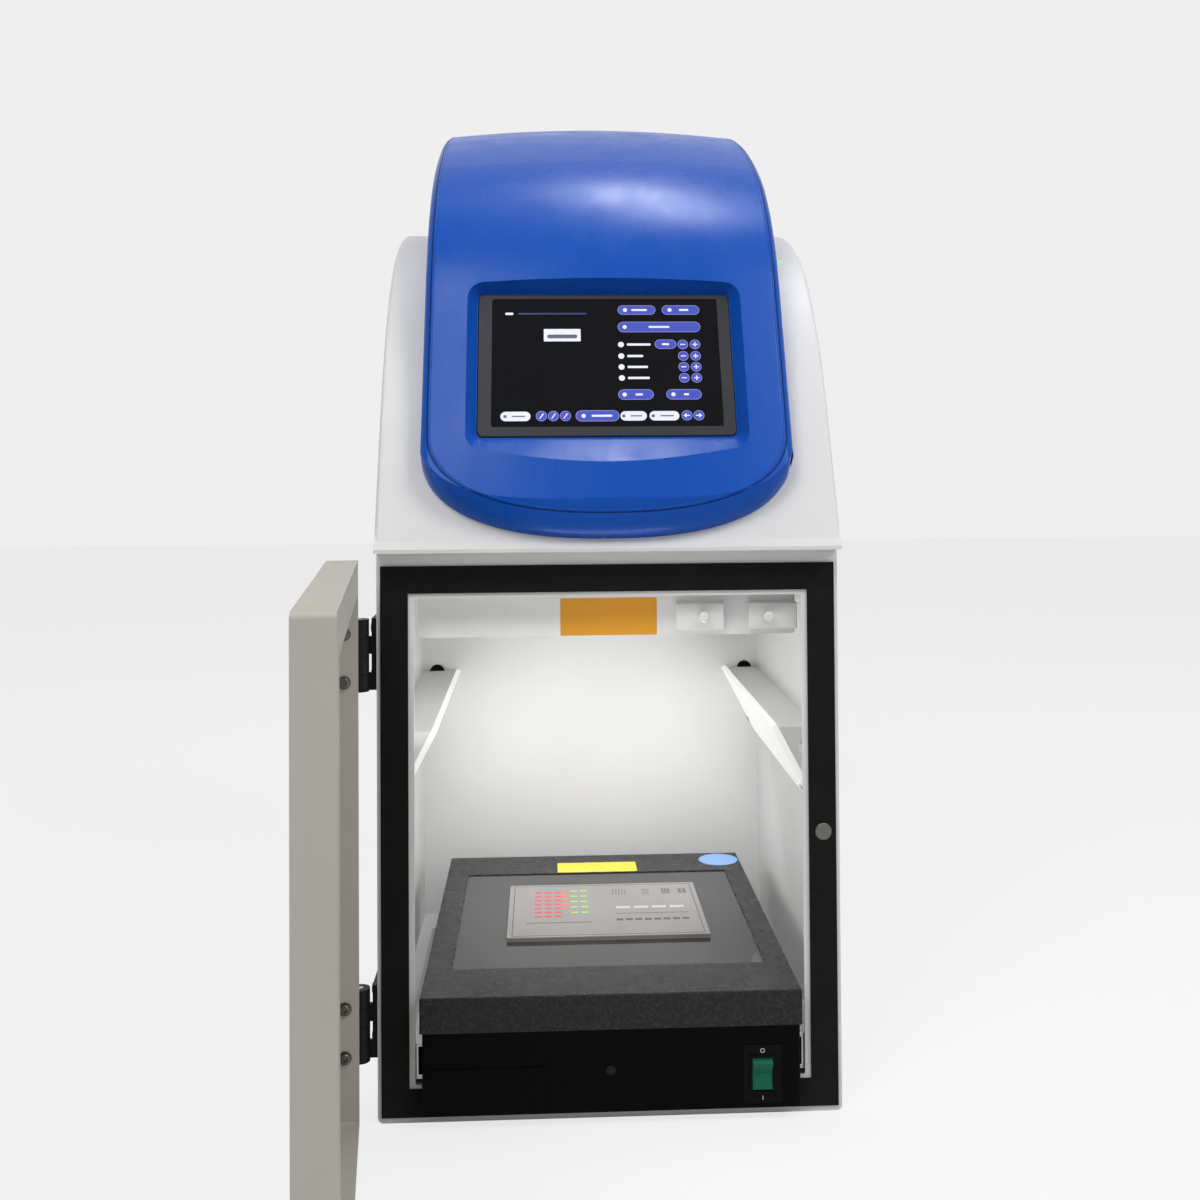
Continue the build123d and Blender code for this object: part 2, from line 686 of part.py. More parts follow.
def socket_screw(y, z, x_seat, x_tip, side):
    """A button screw whose head sits at x_seat and points to side."""
    head = cross_rod(y, z, x_seat, x_seat + side * HINGE_SCREW_HEAD, HINGE_SCREW_HEAD_RADIUS)
    rim = head.edges().filter_by(GeomType.CIRCLE).sort_by(Axis.X)[-1 if side > 0 else 0]
    head = fillet(rim, HINGE_SCREW_HEAD / 3)
    socket = Plane(origin=(x_seat + side * HINGE_SCREW_HEAD, y, z), z_dir=(side, 0, 0)) * extrude(
        RegularPolygon(HINGE_SOCKET_RADIUS, 6), -HINGE_SCREW_HEAD / 2
    )
    return head + cross_rod(y, z, x_seat, x_tip, HINGE_SCREW_RADIUS) - socket


def washer(y, z, x0, x1):
    """A flat ring under a screw head."""
    return cross_rod(y, z, x0, x1, WASHER_RADIUS) - cross_rod(
        y, z, x0 - 1, x1 + 1, HINGE_SCREW_RADIUS + SCREW_HOLE_CLEARANCE
    )


door_wall = -door_half + SHEET
hinge_leaves_cabinet = [cabinet_leaf(z) for z in HINGE_Z]
hinge_leaves_door = [door_leaf(z) for z in HINGE_Z]
hinge_pins = [
    post(HINGE_PIN_X, HINGE_PIN_Y, z - HINGE_HEIGHT / 2, z + HINGE_HEIGHT / 2, HINGE_PIN_RADIUS) for z in HINGE_Z
]
hinge_screws_cabinet = [
    socket_screw(LEAF_SCREW_Y, z, -HALF - HINGE_LEAF, -INNER + SHEET, -1) for z in hinge_screw_places()
]
hinge_screws_door = [
    socket_screw(DOOR_SCREW_Y, z, door_wall + WASHER_THICKNESS, -door_half - HINGE_LEAF / 2, 1)
    for z in hinge_screw_places()
] + [washer(DOOR_SCREW_Y, z, door_wall, door_wall + WASHER_THICKNESS) for z in hinge_screw_places()]


def swung(shape):
    """A closed door's piece turned to the open rest pose."""
    hinge_axis = Axis((HINGE_PIN_X, HINGE_PIN_Y, 0), (0, 0, 1))
    return shape.rotate(hinge_axis, -DOOR_OPEN_ANGLE)


# Hood: a spline side profile, hollow, with a return lip that stands on the cabinet
hood_low = CABINET_HEIGHT
hood_top = HOOD_PROFILE[-1][1]
hood_lip = (HOOD_LIP_Y, hood_low + HOOD_LIP_HEIGHT)
hood_curve = Spline(*[(0, y, z) for y, z in HOOD_PROFILE], tangents=[(0, 0.39, 0.92), (0, 1, 0)])


def hood_body(depth_below, back):
    """The hood's outer shape, from depth_below under its foot to the back."""
    low = hood_low - depth_below
    wire = [
        hood_curve,
        Line((0, *HOOD_PROFILE[-1]), (0, back, hood_top)),
        Line((0, back, hood_top), (0, back, low)),
        Line((0, back, low), (0, HOOD_LIP_Y, low)),
        Line((0, HOOD_LIP_Y, low), (0, *hood_lip)),
        Line((0, *hood_lip), (0, *HOOD_PROFILE[0])),
    ]
    return across(make_face(wire), HALF)


hood_solid = hood_body(0, CABINET_DEPTH)
hood_inner_points = []
for i in range(HOOD_INNER_STEPS + 1):
    spot, run = hood_curve @ (i / HOOD_INNER_STEPS), hood_curve % (i / HOOD_INNER_STEPS)
    hood_inner_points.append((0, spot.Y + HOOD_WALL * run.Z, spot.Z - HOOD_WALL * run.Y))
hood_inner_start, hood_inner_end = hood_inner_points[0], hood_inner_points[-1]
hood_floor, hood_open_end = hood_low + HOOD_WALL, CABINET_DEPTH + HOOD_RETURN
hood_inner_wire = [
    Spline(*hood_inner_points, tangents=[hood_curve % 0, hood_curve % 1]),
    Line(hood_inner_end, (0, hood_open_end, hood_inner_end[2])),
    Line((0, hood_open_end, hood_inner_end[2]), (0, hood_open_end, hood_floor)),
    Line((0, hood_open_end, hood_floor), (0, hood_inner_start[1], hood_floor)),
    Line((0, hood_inner_start[1], hood_floor), hood_inner_start),
]
hood_hollow = across(make_face(hood_inner_wire), HALF - HOOD_WALL)
hood_well = block(
    -HALF + HOOD_RETURN, HALF - HOOD_RETURN, HOOD_RETURN, CABINET_DEPTH - HOOD_RETURN,
    hood_low - 1, hood_low + 2 * HOOD_WALL,
)
hood_outer = fillet(
    hood_solid.edges().filter_by(GeomType.BSPLINE) + hood_solid.edges().filter_by(Axis.Y).group_by(Axis.Z)[-1],
    HOOD_EDGE_RADIUS,
)

# Green lamp in the hood's shoulder
led_step = min(range(401), key=lambda i: abs((hood_curve @ (i / 400)).Y - STATUS_LED_Y))
led_spot = hood_curve @ (led_step / 400)
led_run = hood_curve % (led_step / 400)
led_plane = Plane(origin=(STATUS_LED_X, led_spot.Y, led_spot.Z), z_dir=(0, -led_run.Z, led_run.Y))
led_reach = STATUS_LED_PROUD + 2 * HOOD_WALL
status_led = led_plane * Pos(0, 0, STATUS_LED_PROUD - led_reach / 2) * Cylinder(STATUS_LED_RADIUS, led_reach)
status_led = fillet(
    status_led.edges().filter_by(GeomType.CIRCLE).sort_by(Axis.Z)[-1], STATUS_LED_PROUD
)
led_hole = led_plane * Cylinder(STATUS_LED_RADIUS + PANEL_CLEARANCE, 4 * HOOD_WALL)
hood_shell = hood_outer - hood_hollow - hood_well - led_hole


# Cover: its section runs up a slope, through three bends and along the top
def slope_point(up, out):
    """A side view point from distances along the slope and out of it, from the cover's front point."""
    base = Vector(0, *COVER_FRONT_POINT)
    return base + SLOPE_UP * up + SLOPE_OUT * out


def cover_section(spot, angle, inset):
    """The section across the path at a spot: crowned top, rounded edges, deep sides."""
    half = COVER_WIDTH / 2 - inset
    across_plane = Plane(
        origin=spot, x_dir=(1, 0, 0), z_dir=(0, -math.cos(math.radians(angle)), -math.sin(math.radians(angle)))
    )
    wire = [
        ThreePointArc((-half, -COVER_CROWN - inset), (0, -inset), (half, -COVER_CROWN - inset)),
        Line((half, -COVER_CROWN - inset), (half, -COVER_DEPTH)),
        Line((half, -COVER_DEPTH), (-half, -COVER_DEPTH)),
        Line((-half, -COVER_DEPTH), (-half, -COVER_CROWN - inset)),
    ]
    face = make_face(wire)
    return across_plane * fillet(face.vertices().group_by(Axis.Y)[-1], COVER_EDGE_RADIUS - inset / 2)


def cover_run(inset):
    """The section's whole run over the cover's path."""
    up_end = (COVER_SLOPE_TOP - COVER_FRONT_POINT[1]) / SLOPE_UP.Z
    start = slope_point(-FOOT_LENGTH, 0)
    spot = slope_point(up_end, 0)
    angle = COVER_SLOPE
    parts = [extrude(cover_section(start, angle, inset), amount=(spot - start).length, dir=tuple(SLOPE_UP))]
    for radius, end_angle in COVER_BENDS:
        turn_from, turn_to = math.radians(angle), math.radians(end_angle)
        centre = Vector(0, spot.Y + radius * math.sin(turn_from), spot.Z - radius * math.cos(turn_from))
        bend = Axis(tuple(centre), (-1, 0, 0))
        parts.append(revolve(cover_section(spot, angle, inset), bend, angle - end_angle))
        spot = Vector(0, centre.Y - radius * math.sin(turn_to), centre.Z + radius * math.cos(turn_to))
        angle = end_angle
    parts.append(extrude(cover_section(spot, 0, inset), amount=CABINET_DEPTH - spot.Y, dir=(0, 1, 0)))
    return add_all(parts)


foot_bottom = (Vector(0, *HOOD_PROFILE[0]) - Vector(0, *COVER_FRONT_POINT)).dot(SLOPE_UP) + FOOT_LIFT
FOOT_LENGTH = -foot_bottom + 2 * COVER_WALL


def foot_outline(depth):
    """The foot's outline this far below the crest: a superellipse that shrinks towards the crest."""
    reach = (FOOT_RIM_DEPTHS[0] - depth) / FOOT_RIM_REACH
    at_crest = 1 - math.sqrt(1 - (FOOT_RIM_DEPTHS[0] / FOOT_RIM_REACH) ** 2)
    low = foot_bottom + FOOT_RIM * (1 - math.sqrt(1 - reach**2)) / at_crest
    points = []
    for i in range(-FOOT_POINTS, FOOT_POINTS + 1):
        turn = math.radians(90 * i / FOOT_POINTS)
        side = math.copysign(abs(math.sin(turn)) ** (2 / FOOT_POWER), turn)
        rise = 1 - math.cos(turn) ** (2 / FOOT_POWER) if abs(i) < FOOT_POINTS else 1
        points.append((FOOT_HALF_WIDTH * side, low + FOOT_RISE * rise))
    left, right = points[0], points[-1]
    top = foot_bottom + 2 * FOOT_RISE
    wire = [
        Spline(*points, tangents=[(0, -1), (0, 1)]),
        Line(right, (right[0], top)),
        Line((right[0], top), (left[0], top)),
        Line((left[0], top), left),
    ]
    plane = Plane(origin=tuple(slope_point(0, -depth)), x_dir=(1, 0, 0), z_dir=tuple(SLOPE_OUT))
    return plane * make_face(wire)


rim_loft = loft([foot_outline(depth) for depth in FOOT_RIM_DEPTHS])
rim_root = extrude(foot_outline(FOOT_RIM_DEPTHS[0]), amount=-COVER_DEPTH, dir=tuple(SLOPE_OUT))
foot_plane = Plane(origin=tuple(slope_point(0, 0)), x_dir=(1, 0, 0), z_dir=tuple(SLOPE_OUT))
foot_slab = foot_plane * block(
    -HALF, HALF, foot_bottom - COVER_DEPTH, foot_bottom + 2 * FOOT_RISE - COVER_WALL, -COVER_DEPTH, COVER_DEPTH
)
foot_cutter = foot_slab - rim_root - rim_loft

cover_cavity = cover_run(COVER_WALL) & block(
    -HALF, HALF, COVER_HOLLOW_FRONT, CABINET_DEPTH - COVER_WALL, CABINET_HEIGHT, 2 * CABINET_HEIGHT
)
cover_body = cover_run(0) - hood_body(COVER_DEPTH, 2 * CABINET_DEPTH) - foot_cutter - cover_cavity

# Screen pocket and the screen's layers, drawn in the slope's plane
screen_plane = Plane(origin=(0, *SCREEN_CENTRE), x_dir=(1, 0, 0), z_dir=tuple(SLOPE_OUT))


def slab(width, height, corner, low, high, shift=(0, 0)):
    """A round-cornered plate in the screen's plane between two heights over it."""
    sheet = Pos(*shift, low) * extrude(RectangleRounded(width, height, corner), high - low)
    return screen_plane * sheet


def pocket_mouth():
    """The pocket's outline at the crest, with a bowed lower edge."""
    low_left, low_right = (-POCKET_HALF_WIDTH, POCKET_SIDE_BOTTOM), (POCKET_HALF_WIDTH, POCKET_SIDE_BOTTOM)
    top_left, top_right = (-POCKET_HALF_WIDTH, POCKET_TOP), (POCKET_HALF_WIDTH, POCKET_TOP)
    wire = [
        ThreePointArc(low_left, (0, POCKET_BOTTOM), low_right),
        Line(low_right, top_right),
        Line(top_right, top_left),
        Line(top_left, low_left),
    ]
    face = make_face(wire)
    return fillet(face.vertices(), POCKET_CORNER)


def pocket_floor():
    """The pocket's outline at the bezel, drawn with the same edges as its mouth."""
    half_width, half_height = BEZEL_WIDTH / 2 + POCKET_STEP, BEZEL_HEIGHT / 2 + POCKET_STEP
    low_left, low_right = (-half_width, -half_height), (half_width, -half_height)
    wire = [
        ThreePointArc(low_left, (0, -half_height - POCKET_GAP), low_right),
        Line(low_right, (half_width, half_height)),
        Line((half_width, half_height), (-half_width, half_height)),
        Line((-half_width, half_height), low_left),
    ]
    face = make_face(wire)
    return fillet(face.vertices(), BEZEL_CORNER + POCKET_STEP)


seat_depth = BEZEL_THICKNESS - BEZEL_PROUD
pocket = loft([screen_plane * pocket_floor(), screen_plane * Pos(0, 0, POCKET_RISE) * pocket_mouth()])
bezel_seat = slab(
    BEZEL_WIDTH + 2 * POCKET_GAP, BEZEL_HEIGHT + 2 * POCKET_GAP, BEZEL_CORNER + POCKET_GAP, -seat_depth, POCKET_STEP
)
glass_front = BEZEL_PROUD - GLASS_SINK
glass_back = glass_front - GLASS_THICKNESS
module_back = glass_back - DISPLAY_THICKNESS
glass_size = (WINDOW_WIDTH + 2 * GLASS_BORDER, WINDOW_HEIGHT + 2 * GLASS_BORDER, WINDOW_CORNER)
module_size = (WINDOW_WIDTH + 2 * DISPLAY_BORDER, WINDOW_HEIGHT + 2 * DISPLAY_BORDER, WINDOW_CORNER)
module_hole = slab(
    module_size[0] + 2 * POCKET_GAP, module_size[1] + 2 * POCKET_GAP, WINDOW_CORNER,
    module_back - POCKET_GAP, 0, WINDOW_SHIFT,
)
display_cover = cover_body - pocket - bezel_seat - module_hole

screen_bezel = slab(BEZEL_WIDTH, BEZEL_HEIGHT, BEZEL_CORNER, -seat_depth, BEZEL_PROUD)
bezel_face_edges = screen_bezel.faces().sort_by(Axis(tuple(screen_plane.origin), tuple(SLOPE_OUT)))[-1].edges()
screen_bezel = fillet(bezel_face_edges, BEZEL_PROUD * 0.8)
screen_bezel = screen_bezel - slab(WINDOW_WIDTH, WINDOW_HEIGHT, WINDOW_CORNER, -1, 2 * BEZEL_PROUD, WINDOW_SHIFT)
screen_bezel = screen_bezel - slab(*glass_size, -2 * seat_depth, glass_front, WINDOW_SHIFT)
touch_glass = slab(*glass_size, glass_back, glass_front, WINDOW_SHIFT)
display_module = slab(*module_size, module_back, glass_back, WINDOW_SHIFT)

# Camera with its bracket, and the emission filter on the ceiling's aperture
ceiling_top = CEILING_LEVEL + SHEET
lens_rings = []
ring_z = LENS_BOTTOM
for ring_radius, ring_height in LENS_RINGS:
    lens_rings.append(post(0, CAMERA_Y, ring_z, ring_z + ring_height, ring_radius))
    ring_z = ring_z + ring_height
lens_mouth = post(0, CAMERA_Y, LENS_BOTTOM - 1, LENS_BOTTOM + LENS_RINGS[0][1], LENS_RINGS[-1][0])
zoom_lens = add_all(lens_rings) - lens_mouth
camera_low, camera_high = ring_z, ring_z + CAMERA_BODY_HEIGHT
camera_body = block(
    -CAMERA_WIDTH / 2, CAMERA_WIDTH / 2, CAMERA_Y - CAMERA_WIDTH / 2, CAMERA_Y + CAMERA_WIDTH / 2,
    camera_low, camera_high,
)
camera_body = fillet(camera_body.edges().filter_by(Axis.Z), BRACKET_SHEET)
bracket_y0, bracket_y1 = CAMERA_Y - BRACKET_DEPTH / 2, CAMERA_Y + BRACKET_DEPTH / 2
bracket_leg = block(
    BRACKET_HALF_WIDTH - BRACKET_SHEET, BRACKET_HALF_WIDTH, bracket_y0, bracket_y1,
    ceiling_top, camera_high + BRACKET_SHEET,
)
bracket_foot = block(
    BRACKET_HALF_WIDTH, BRACKET_HALF_WIDTH + BRACKET_FOOT, bracket_y0, bracket_y1,
    ceiling_top, ceiling_top + BRACKET_SHEET,
)
camera_bracket = (
    block(
        -BRACKET_HALF_WIDTH, BRACKET_HALF_WIDTH, bracket_y0, bracket_y1, camera_high, camera_high + BRACKET_SHEET
    )
    + bracket_leg + bracket_foot + mirrored(bracket_leg) + mirrored(bracket_foot)
)
filter_seat_radius = CAMERA_APERTURE_RADIUS + FILTER_RING_WIDTH / 2
filter_ledge_z = ceiling_top + FILTER_RING_HEIGHT - FILTER_THICKNESS
filter_ring = (
    post(0, CAMERA_Y, ceiling_top, ceiling_top + FILTER_RING_HEIGHT, CAMERA_APERTURE_RADIUS + FILTER_RING_WIDTH)
    - post(0, CAMERA_Y, ceiling_top - 1, ceiling_top + 2 * FILTER_RING_HEIGHT, CAMERA_APERTURE_RADIUS)
    - post(0, CAMERA_Y, filter_ledge_z, ceiling_top + 2 * FILTER_RING_HEIGHT, filter_seat_radius)
)
emission_filter = post(
    0, CAMERA_Y, filter_ledge_z, filter_ledge_z + FILTER_THICKNESS, filter_seat_radius - PANEL_CLEARANCE
)

# Back panel of the hood with its sockets
panel_half = HALF - HOOD_WALL - PANEL_CLEARANCE
panel_low = hood_low + HOOD_WALL + PANEL_CLEARANCE
panel_high = hood_top - HOOD_WALL - PANEL_CLEARANCE
panel_front = CABINET_DEPTH - HOOD_WALL
hood_rear_panel = block(-panel_half, panel_half, panel_front, CABINET_DEPTH, panel_low, panel_high)


def centred(place, size, y0, y1, margin=0):
    """A box centred on an (x, z) place, from one depth to another."""
    (x, z), half_x, half_z = place, size[0] / 2 + margin, size[1] / 2 + margin
    return block(x - half_x, x + half_x, y0, y1, z - half_z, z + half_z)


usb_places = [(USB_POS[0] + i * USB_PITCH, USB_POS[1]) for i in range(USB_COUNT)]
hood_rear_panel = cut_all(
    hood_rear_panel,
    [centred(INLET_POS, INLET_SIZE, panel_front - 1, CABINET_DEPTH + 1, PANEL_CLEARANCE)]
    + [centred(place, USB_SIZE, panel_front - 1, CABINET_DEPTH + 1, PANEL_CLEARANCE) for place in usb_places]
    + vent_slots(0, SUPPLY_PLACE[1], panel_front),
)
inlet_front = CABINET_DEPTH - INLET_DEPTH
inlet_flange = centred(INLET_POS, INLET_FLANGE, CABINET_DEPTH, CABINET_DEPTH + INLET_LIP)
inlet_flange = fillet(inlet_flange.edges().filter_by(Axis.Y), INLET_WALL)
mains_inlet = (
    inlet_flange
    + centred(INLET_POS, INLET_SIZE, inlet_front, CABINET_DEPTH)
    - centred(INLET_POS, INLET_SIZE, inlet_front + INLET_WALL, CABINET_DEPTH + 2 * INLET_LIP, -INLET_WALL)
)
inlet_pins = [
    centred(
        (INLET_POS[0] + column * PIN_SPACING, INLET_POS[1] + row), (PIN_SIZE[0], PIN_SIZE[2]),
        inlet_front + INLET_WALL, inlet_front + INLET_WALL + PIN_SIZE[1],
    )
    for column, row in ((-1, -PIN_SIZE[2] / 2), (0, PIN_SIZE[2] / 2), (1, -PIN_SIZE[2] / 2))
]


def usb_socket(place):
    """An open metal sleeve with its tongue."""
    sleeve = centred(place, USB_SIZE, CABINET_DEPTH - USB_DEPTH, CABINET_DEPTH)
    sleeve = sleeve - centred(place, USB_SIZE, CABINET_DEPTH - USB_DEPTH + USB_WALL, CABINET_DEPTH + 1, -USB_WALL)
    tongue_size = (USB_SIZE[0] - 4 * USB_WALL, USB_WALL)
    return sleeve + centred(place, tongue_size, CABINET_DEPTH - USB_DEPTH, CABINET_DEPTH - 2 * USB_WALL)


usb_sockets = [usb_socket(place) for place in usb_places]

# Computer board on standoffs and power supply, both on the hood's back panel
board_back = panel_front - STANDOFF_HEIGHT
board_front = board_back - BOARD_THICKNESS
computer_board = centred(BOARD_PLACE, BOARD_SIZE, board_front, board_back)
for side_x in (-1, 1):
    for side_z in (-1, 1):
        computer_board = computer_board + rod(
            BOARD_PLACE[0] + side_x * (BOARD_SIZE[0] / 2 - 2 * STANDOFF_RADIUS),
            BOARD_PLACE[1] + side_z * (BOARD_SIZE[1] / 2 - 2 * STANDOFF_RADIUS),
            board_back, panel_front, STANDOFF_RADIUS,
        )
heatsink_root = HEATSINK_SIZE[2] / 4
computer_board = computer_board + centred(BOARD_PLACE, HEATSINK_SIZE[:2], board_front - heatsink_root, board_front)
fin_pitch = HEATSINK_SIZE[0] / HEATSINK_FINS
for i in range(HEATSINK_FINS):
    fin_x = BOARD_PLACE[0] - HEATSINK_SIZE[0] / 2 + (i + 0.5) * fin_pitch
    computer_board = computer_board + centred(
        (fin_x, BOARD_PLACE[1]), (fin_pitch / 3, HEATSINK_SIZE[1]), board_front - HEATSINK_SIZE[2], board_front
    )
power_supply = centred(SUPPLY_PLACE, SUPPLY_SIZE[:2], panel_front - SUPPLY_SIZE[2], panel_front)
power_supply = fillet(power_supply.edges().filter_by(Axis.Y), SHEET)

# Transilluminator: open base, hanging front panel, lid with its filter glass
unit_half = UNIT_WIDTH / 2
unit_back = UNIT_FRONT + UNIT_DEPTH
base_front = UNIT_FRONT + UNIT_FRONT_THICKNESS
lid_under = LID_TOP - UNIT_WALL
unit_base = block(-unit_half, unit_half, base_front, unit_back, UNIT_BOTTOM, lid_under)
unit_base = unit_base - block(
    -unit_half + UNIT_WALL, unit_half - UNIT_WALL, base_front + UNIT_WALL, unit_back - UNIT_WALL,
    UNIT_BOTTOM + UNIT_WALL, LID_TOP,
)
unit_front = block(-unit_half, unit_half, UNIT_FRONT, base_front, UNIT_FRONT_BOTTOM, lid_under)
unit_front = fillet(unit_front.edges().filter_by(Axis.Z).group_by(Axis.Y)[0], SHEET)
lid_skirt_low = LID_TOP - LID_SKIRT
lid_front = UNIT_FRONT - LID_FRONT_OVERHANG
skirt_back = lid_front + LID_OVERHANG
unit_front = unit_front - block(
    -unit_half, unit_half, UNIT_FRONT, skirt_back + PANEL_CLEARANCE, lid_skirt_low - PANEL_CLEARANCE, LID_TOP
)
unit_front = unit_front - centred(
    (ROCKER_X, ROCKER_Z), ROCKER_APERTURE, UNIT_FRONT - 1, base_front + 1, ROCKER_WALL + PANEL_CLEARANCE
)
unit_front = unit_front - rod(
    PILOT_SCREW_POS[0], PILOT_SCREW_POS[1], UNIT_FRONT - 1, base_front + 1, PILOT_SCREW_RADIUS + SCREW_HOLE_CLEARANCE
)
lid_half = unit_half + LID_OVERHANG
unit_lid = block(-lid_half, lid_half, lid_front, unit_back + LID_OVERHANG, lid_skirt_low, LID_TOP)
unit_lid = fillet(unit_lid.edges().filter_by(Axis.Z) + unit_lid.edges().group_by(Axis.Z)[-1], LID_EDGE_RADIUS)
unit_lid = unit_lid - block(
    -unit_half - PANEL_CLEARANCE, unit_half + PANEL_CLEARANCE, skirt_back, unit_back + PANEL_CLEARANCE,
    lid_skirt_low - 1, lid_under,
)
filter_top = LID_TOP - FILTER_SINK
filter_low = filter_top - FILTER_GLASS
unit_lid = unit_lid + block(
    GLASS_X[0] - UNIT_WALL, GLASS_X[1] + UNIT_WALL, GLASS_Y[0] - UNIT_WALL, GLASS_Y[1] + UNIT_WALL,
    filter_low - UNIT_WALL, lid_under,
)
unit_lid = unit_lid - block(*GLASS_X, *GLASS_Y, filter_low, LID_TOP + 1)
unit_lid = unit_lid - block(
    GLASS_X[0] + FILTER_LEDGE, GLASS_X[1] - FILTER_LEDGE, GLASS_Y[0] + FILTER_LEDGE, GLASS_Y[1] - FILTER_LEDGE,
    filter_low - 2 * UNIT_WALL, LID_TOP,
)
filter_glass = block(
    GLASS_X[0] + GLASS_GAP, GLASS_X[1] - GLASS_GAP, GLASS_Y[0] + GLASS_GAP, GLASS_Y[1] - GLASS_GAP,
    filter_low, filter_top,
)

# Inside the transilluminator: lamps over a reflector tray, and the ballast below it
base_floor = UNIT_BOTTOM + UNIT_WALL
ballast = block(
    -BALLAST_SIZE[0] / 2, BALLAST_SIZE[0] / 2, CARD_CENTRE[1] - BALLAST_SIZE[1] / 2,
    CARD_CENTRE[1] + BALLAST_SIZE[1] / 2, base_floor, base_floor + BALLAST_SIZE[2],
)
reflector_z = base_floor + BALLAST_SIZE[2] + REFLECTOR_GAP
tray_half = unit_half - UNIT_WALL - PANEL_CLEARANCE
tray_y0, tray_y1 = base_front + UNIT_WALL + PANEL_CLEARANCE, unit_back - UNIT_WALL - PANEL_CLEARANCE
reflector = block(-tray_half, tray_half, tray_y0, tray_y1, base_floor, reflector_z + REFLECTOR_SHEET) - block(
    -tray_half + REFLECTOR_SHEET, tray_half - REFLECTOR_SHEET, tray_y0 - 1, tray_y1 + 1, base_floor - 1, reflector_z
)
tube_z = reflector_z + REFLECTOR_SHEET + REFLECTOR_GAP + TUBE_CAP_RADIUS
tube_reach = unit_half - UNIT_WALL
tube_middle = (TUBE_COUNT - 1) / 2
tube_rows = [CARD_CENTRE[1] + (i - tube_middle) * TUBE_PITCH for i in range(TUBE_COUNT)]
uv_tubes = [cross_rod(y, tube_z, TUBE_CAP_LENGTH - tube_reach, tube_reach - TUBE_CAP_LENGTH, TUBE_RADIUS)
            for y in tube_rows]
tube_caps = [cross_rod(y, tube_z, tube_reach - TUBE_CAP_LENGTH, tube_reach, TUBE_CAP_RADIUS) for y in tube_rows]
tube_caps = tube_caps + [mirrored(cap) for cap in tube_caps]

# Sample card on the filter glass
sample_card = block(
    CARD_CENTRE[0] - CARD_SIZE[0] / 2, CARD_CENTRE[0] + CARD_SIZE[0] / 2,
    CARD_CENTRE[1] - CARD_SIZE[1] / 2, CARD_CENTRE[1] + CARD_SIZE[1] / 2,
    filter_top, filter_top + CARD_THICKNESS,
)
sample_card = fillet(sample_card.edges().filter_by(Axis.Z), CARD_CORNER)

# On the front panel: blank plate, pilot screw, switch housing and rocker
blank_plate = centred(BLANK_PLATE_POS, BLANK_PLATE, UNIT_FRONT - BLANK_PLATE_THICKNESS, UNIT_FRONT)
pilot_screw = rod(*PILOT_SCREW_POS, UNIT_FRONT, base_front, PILOT_SCREW_RADIUS) + rod(
    *PILOT_SCREW_POS, UNIT_FRONT - BLANK_PLATE_THICKNESS, UNIT_FRONT, 2 * PILOT_SCREW_RADIUS
)
plate_front = UNIT_FRONT - ROCKER_PLATE_THICKNESS
rocker_place = (ROCKER_X, ROCKER_Z)
switch_plate = centred(rocker_place, ROCKER_PLATE, plate_front, UNIT_FRONT)
switch_plate = fillet(switch_plate.edges().filter_by(Axis.Y), ROCKER_RIM)
switch_rim = centred(rocker_place, ROCKER_APERTURE, plate_front - ROCKER_RIM_PROUD, plate_front, ROCKER_RIM)
switch_rim = fillet(switch_rim.edges().filter_by(Axis.Y), ROCKER_RIM_PROUD)
switch_box_back = UNIT_FRONT + ROCKER_HOUSING_DEPTH
pivot_y = plate_front + ROCKER_PIVOT_DEPTH
axle_half = ROCKER_APERTURE[0] / 2 + ROCKER_AXLE_LENGTH
switch_housing_body = (
    switch_plate
    + switch_rim
    + centred(rocker_place, ROCKER_APERTURE, UNIT_FRONT, switch_box_back, ROCKER_WALL)
    - centred(rocker_place, ROCKER_APERTURE, plate_front - 2 * ROCKER_RIM_PROUD, switch_box_back - ROCKER_WALL)
    - cross_rod(
        pivot_y, ROCKER_Z, ROCKER_X - axle_half, ROCKER_X + axle_half, ROCKER_AXLE_RADIUS + RUNNING_CLEARANCE
    )
)


def rocker_body():
    """The rocker: a V-shaped face on a round-ended body with an axle, tilted to its lit side."""
    reach = ROCKER_APERTURE[1] / 2 - ROCKER_CLEARANCE
    half_width = ROCKER_APERTURE[0] / 2 - ROCKER_CLEARANCE
    edge = reach - ROCKER_BACK
    profile = side_profile(
        [
            (ROCKER_BACK, -reach), (-ROCKER_CREST, -reach), (-ROCKER_CREST, -edge),
            (-ROCKER_DIP, 0), (-ROCKER_CREST, edge), (-ROCKER_CREST, reach), (ROCKER_BACK, reach),
        ]
    )
    body = across(profile, half_width) & cross_rod(0, 0, -half_width, half_width, reach)
    body = body + cross_rod(0, 0, -half_width - ROCKER_AXLE_LENGTH, half_width + ROCKER_AXLE_LENGTH, ROCKER_AXLE_RADIUS)
    return Pos(ROCKER_X, pivot_y, ROCKER_Z) * Rot(ROCKER_TILT, 0, 0) * body


rocker = rocker_body()

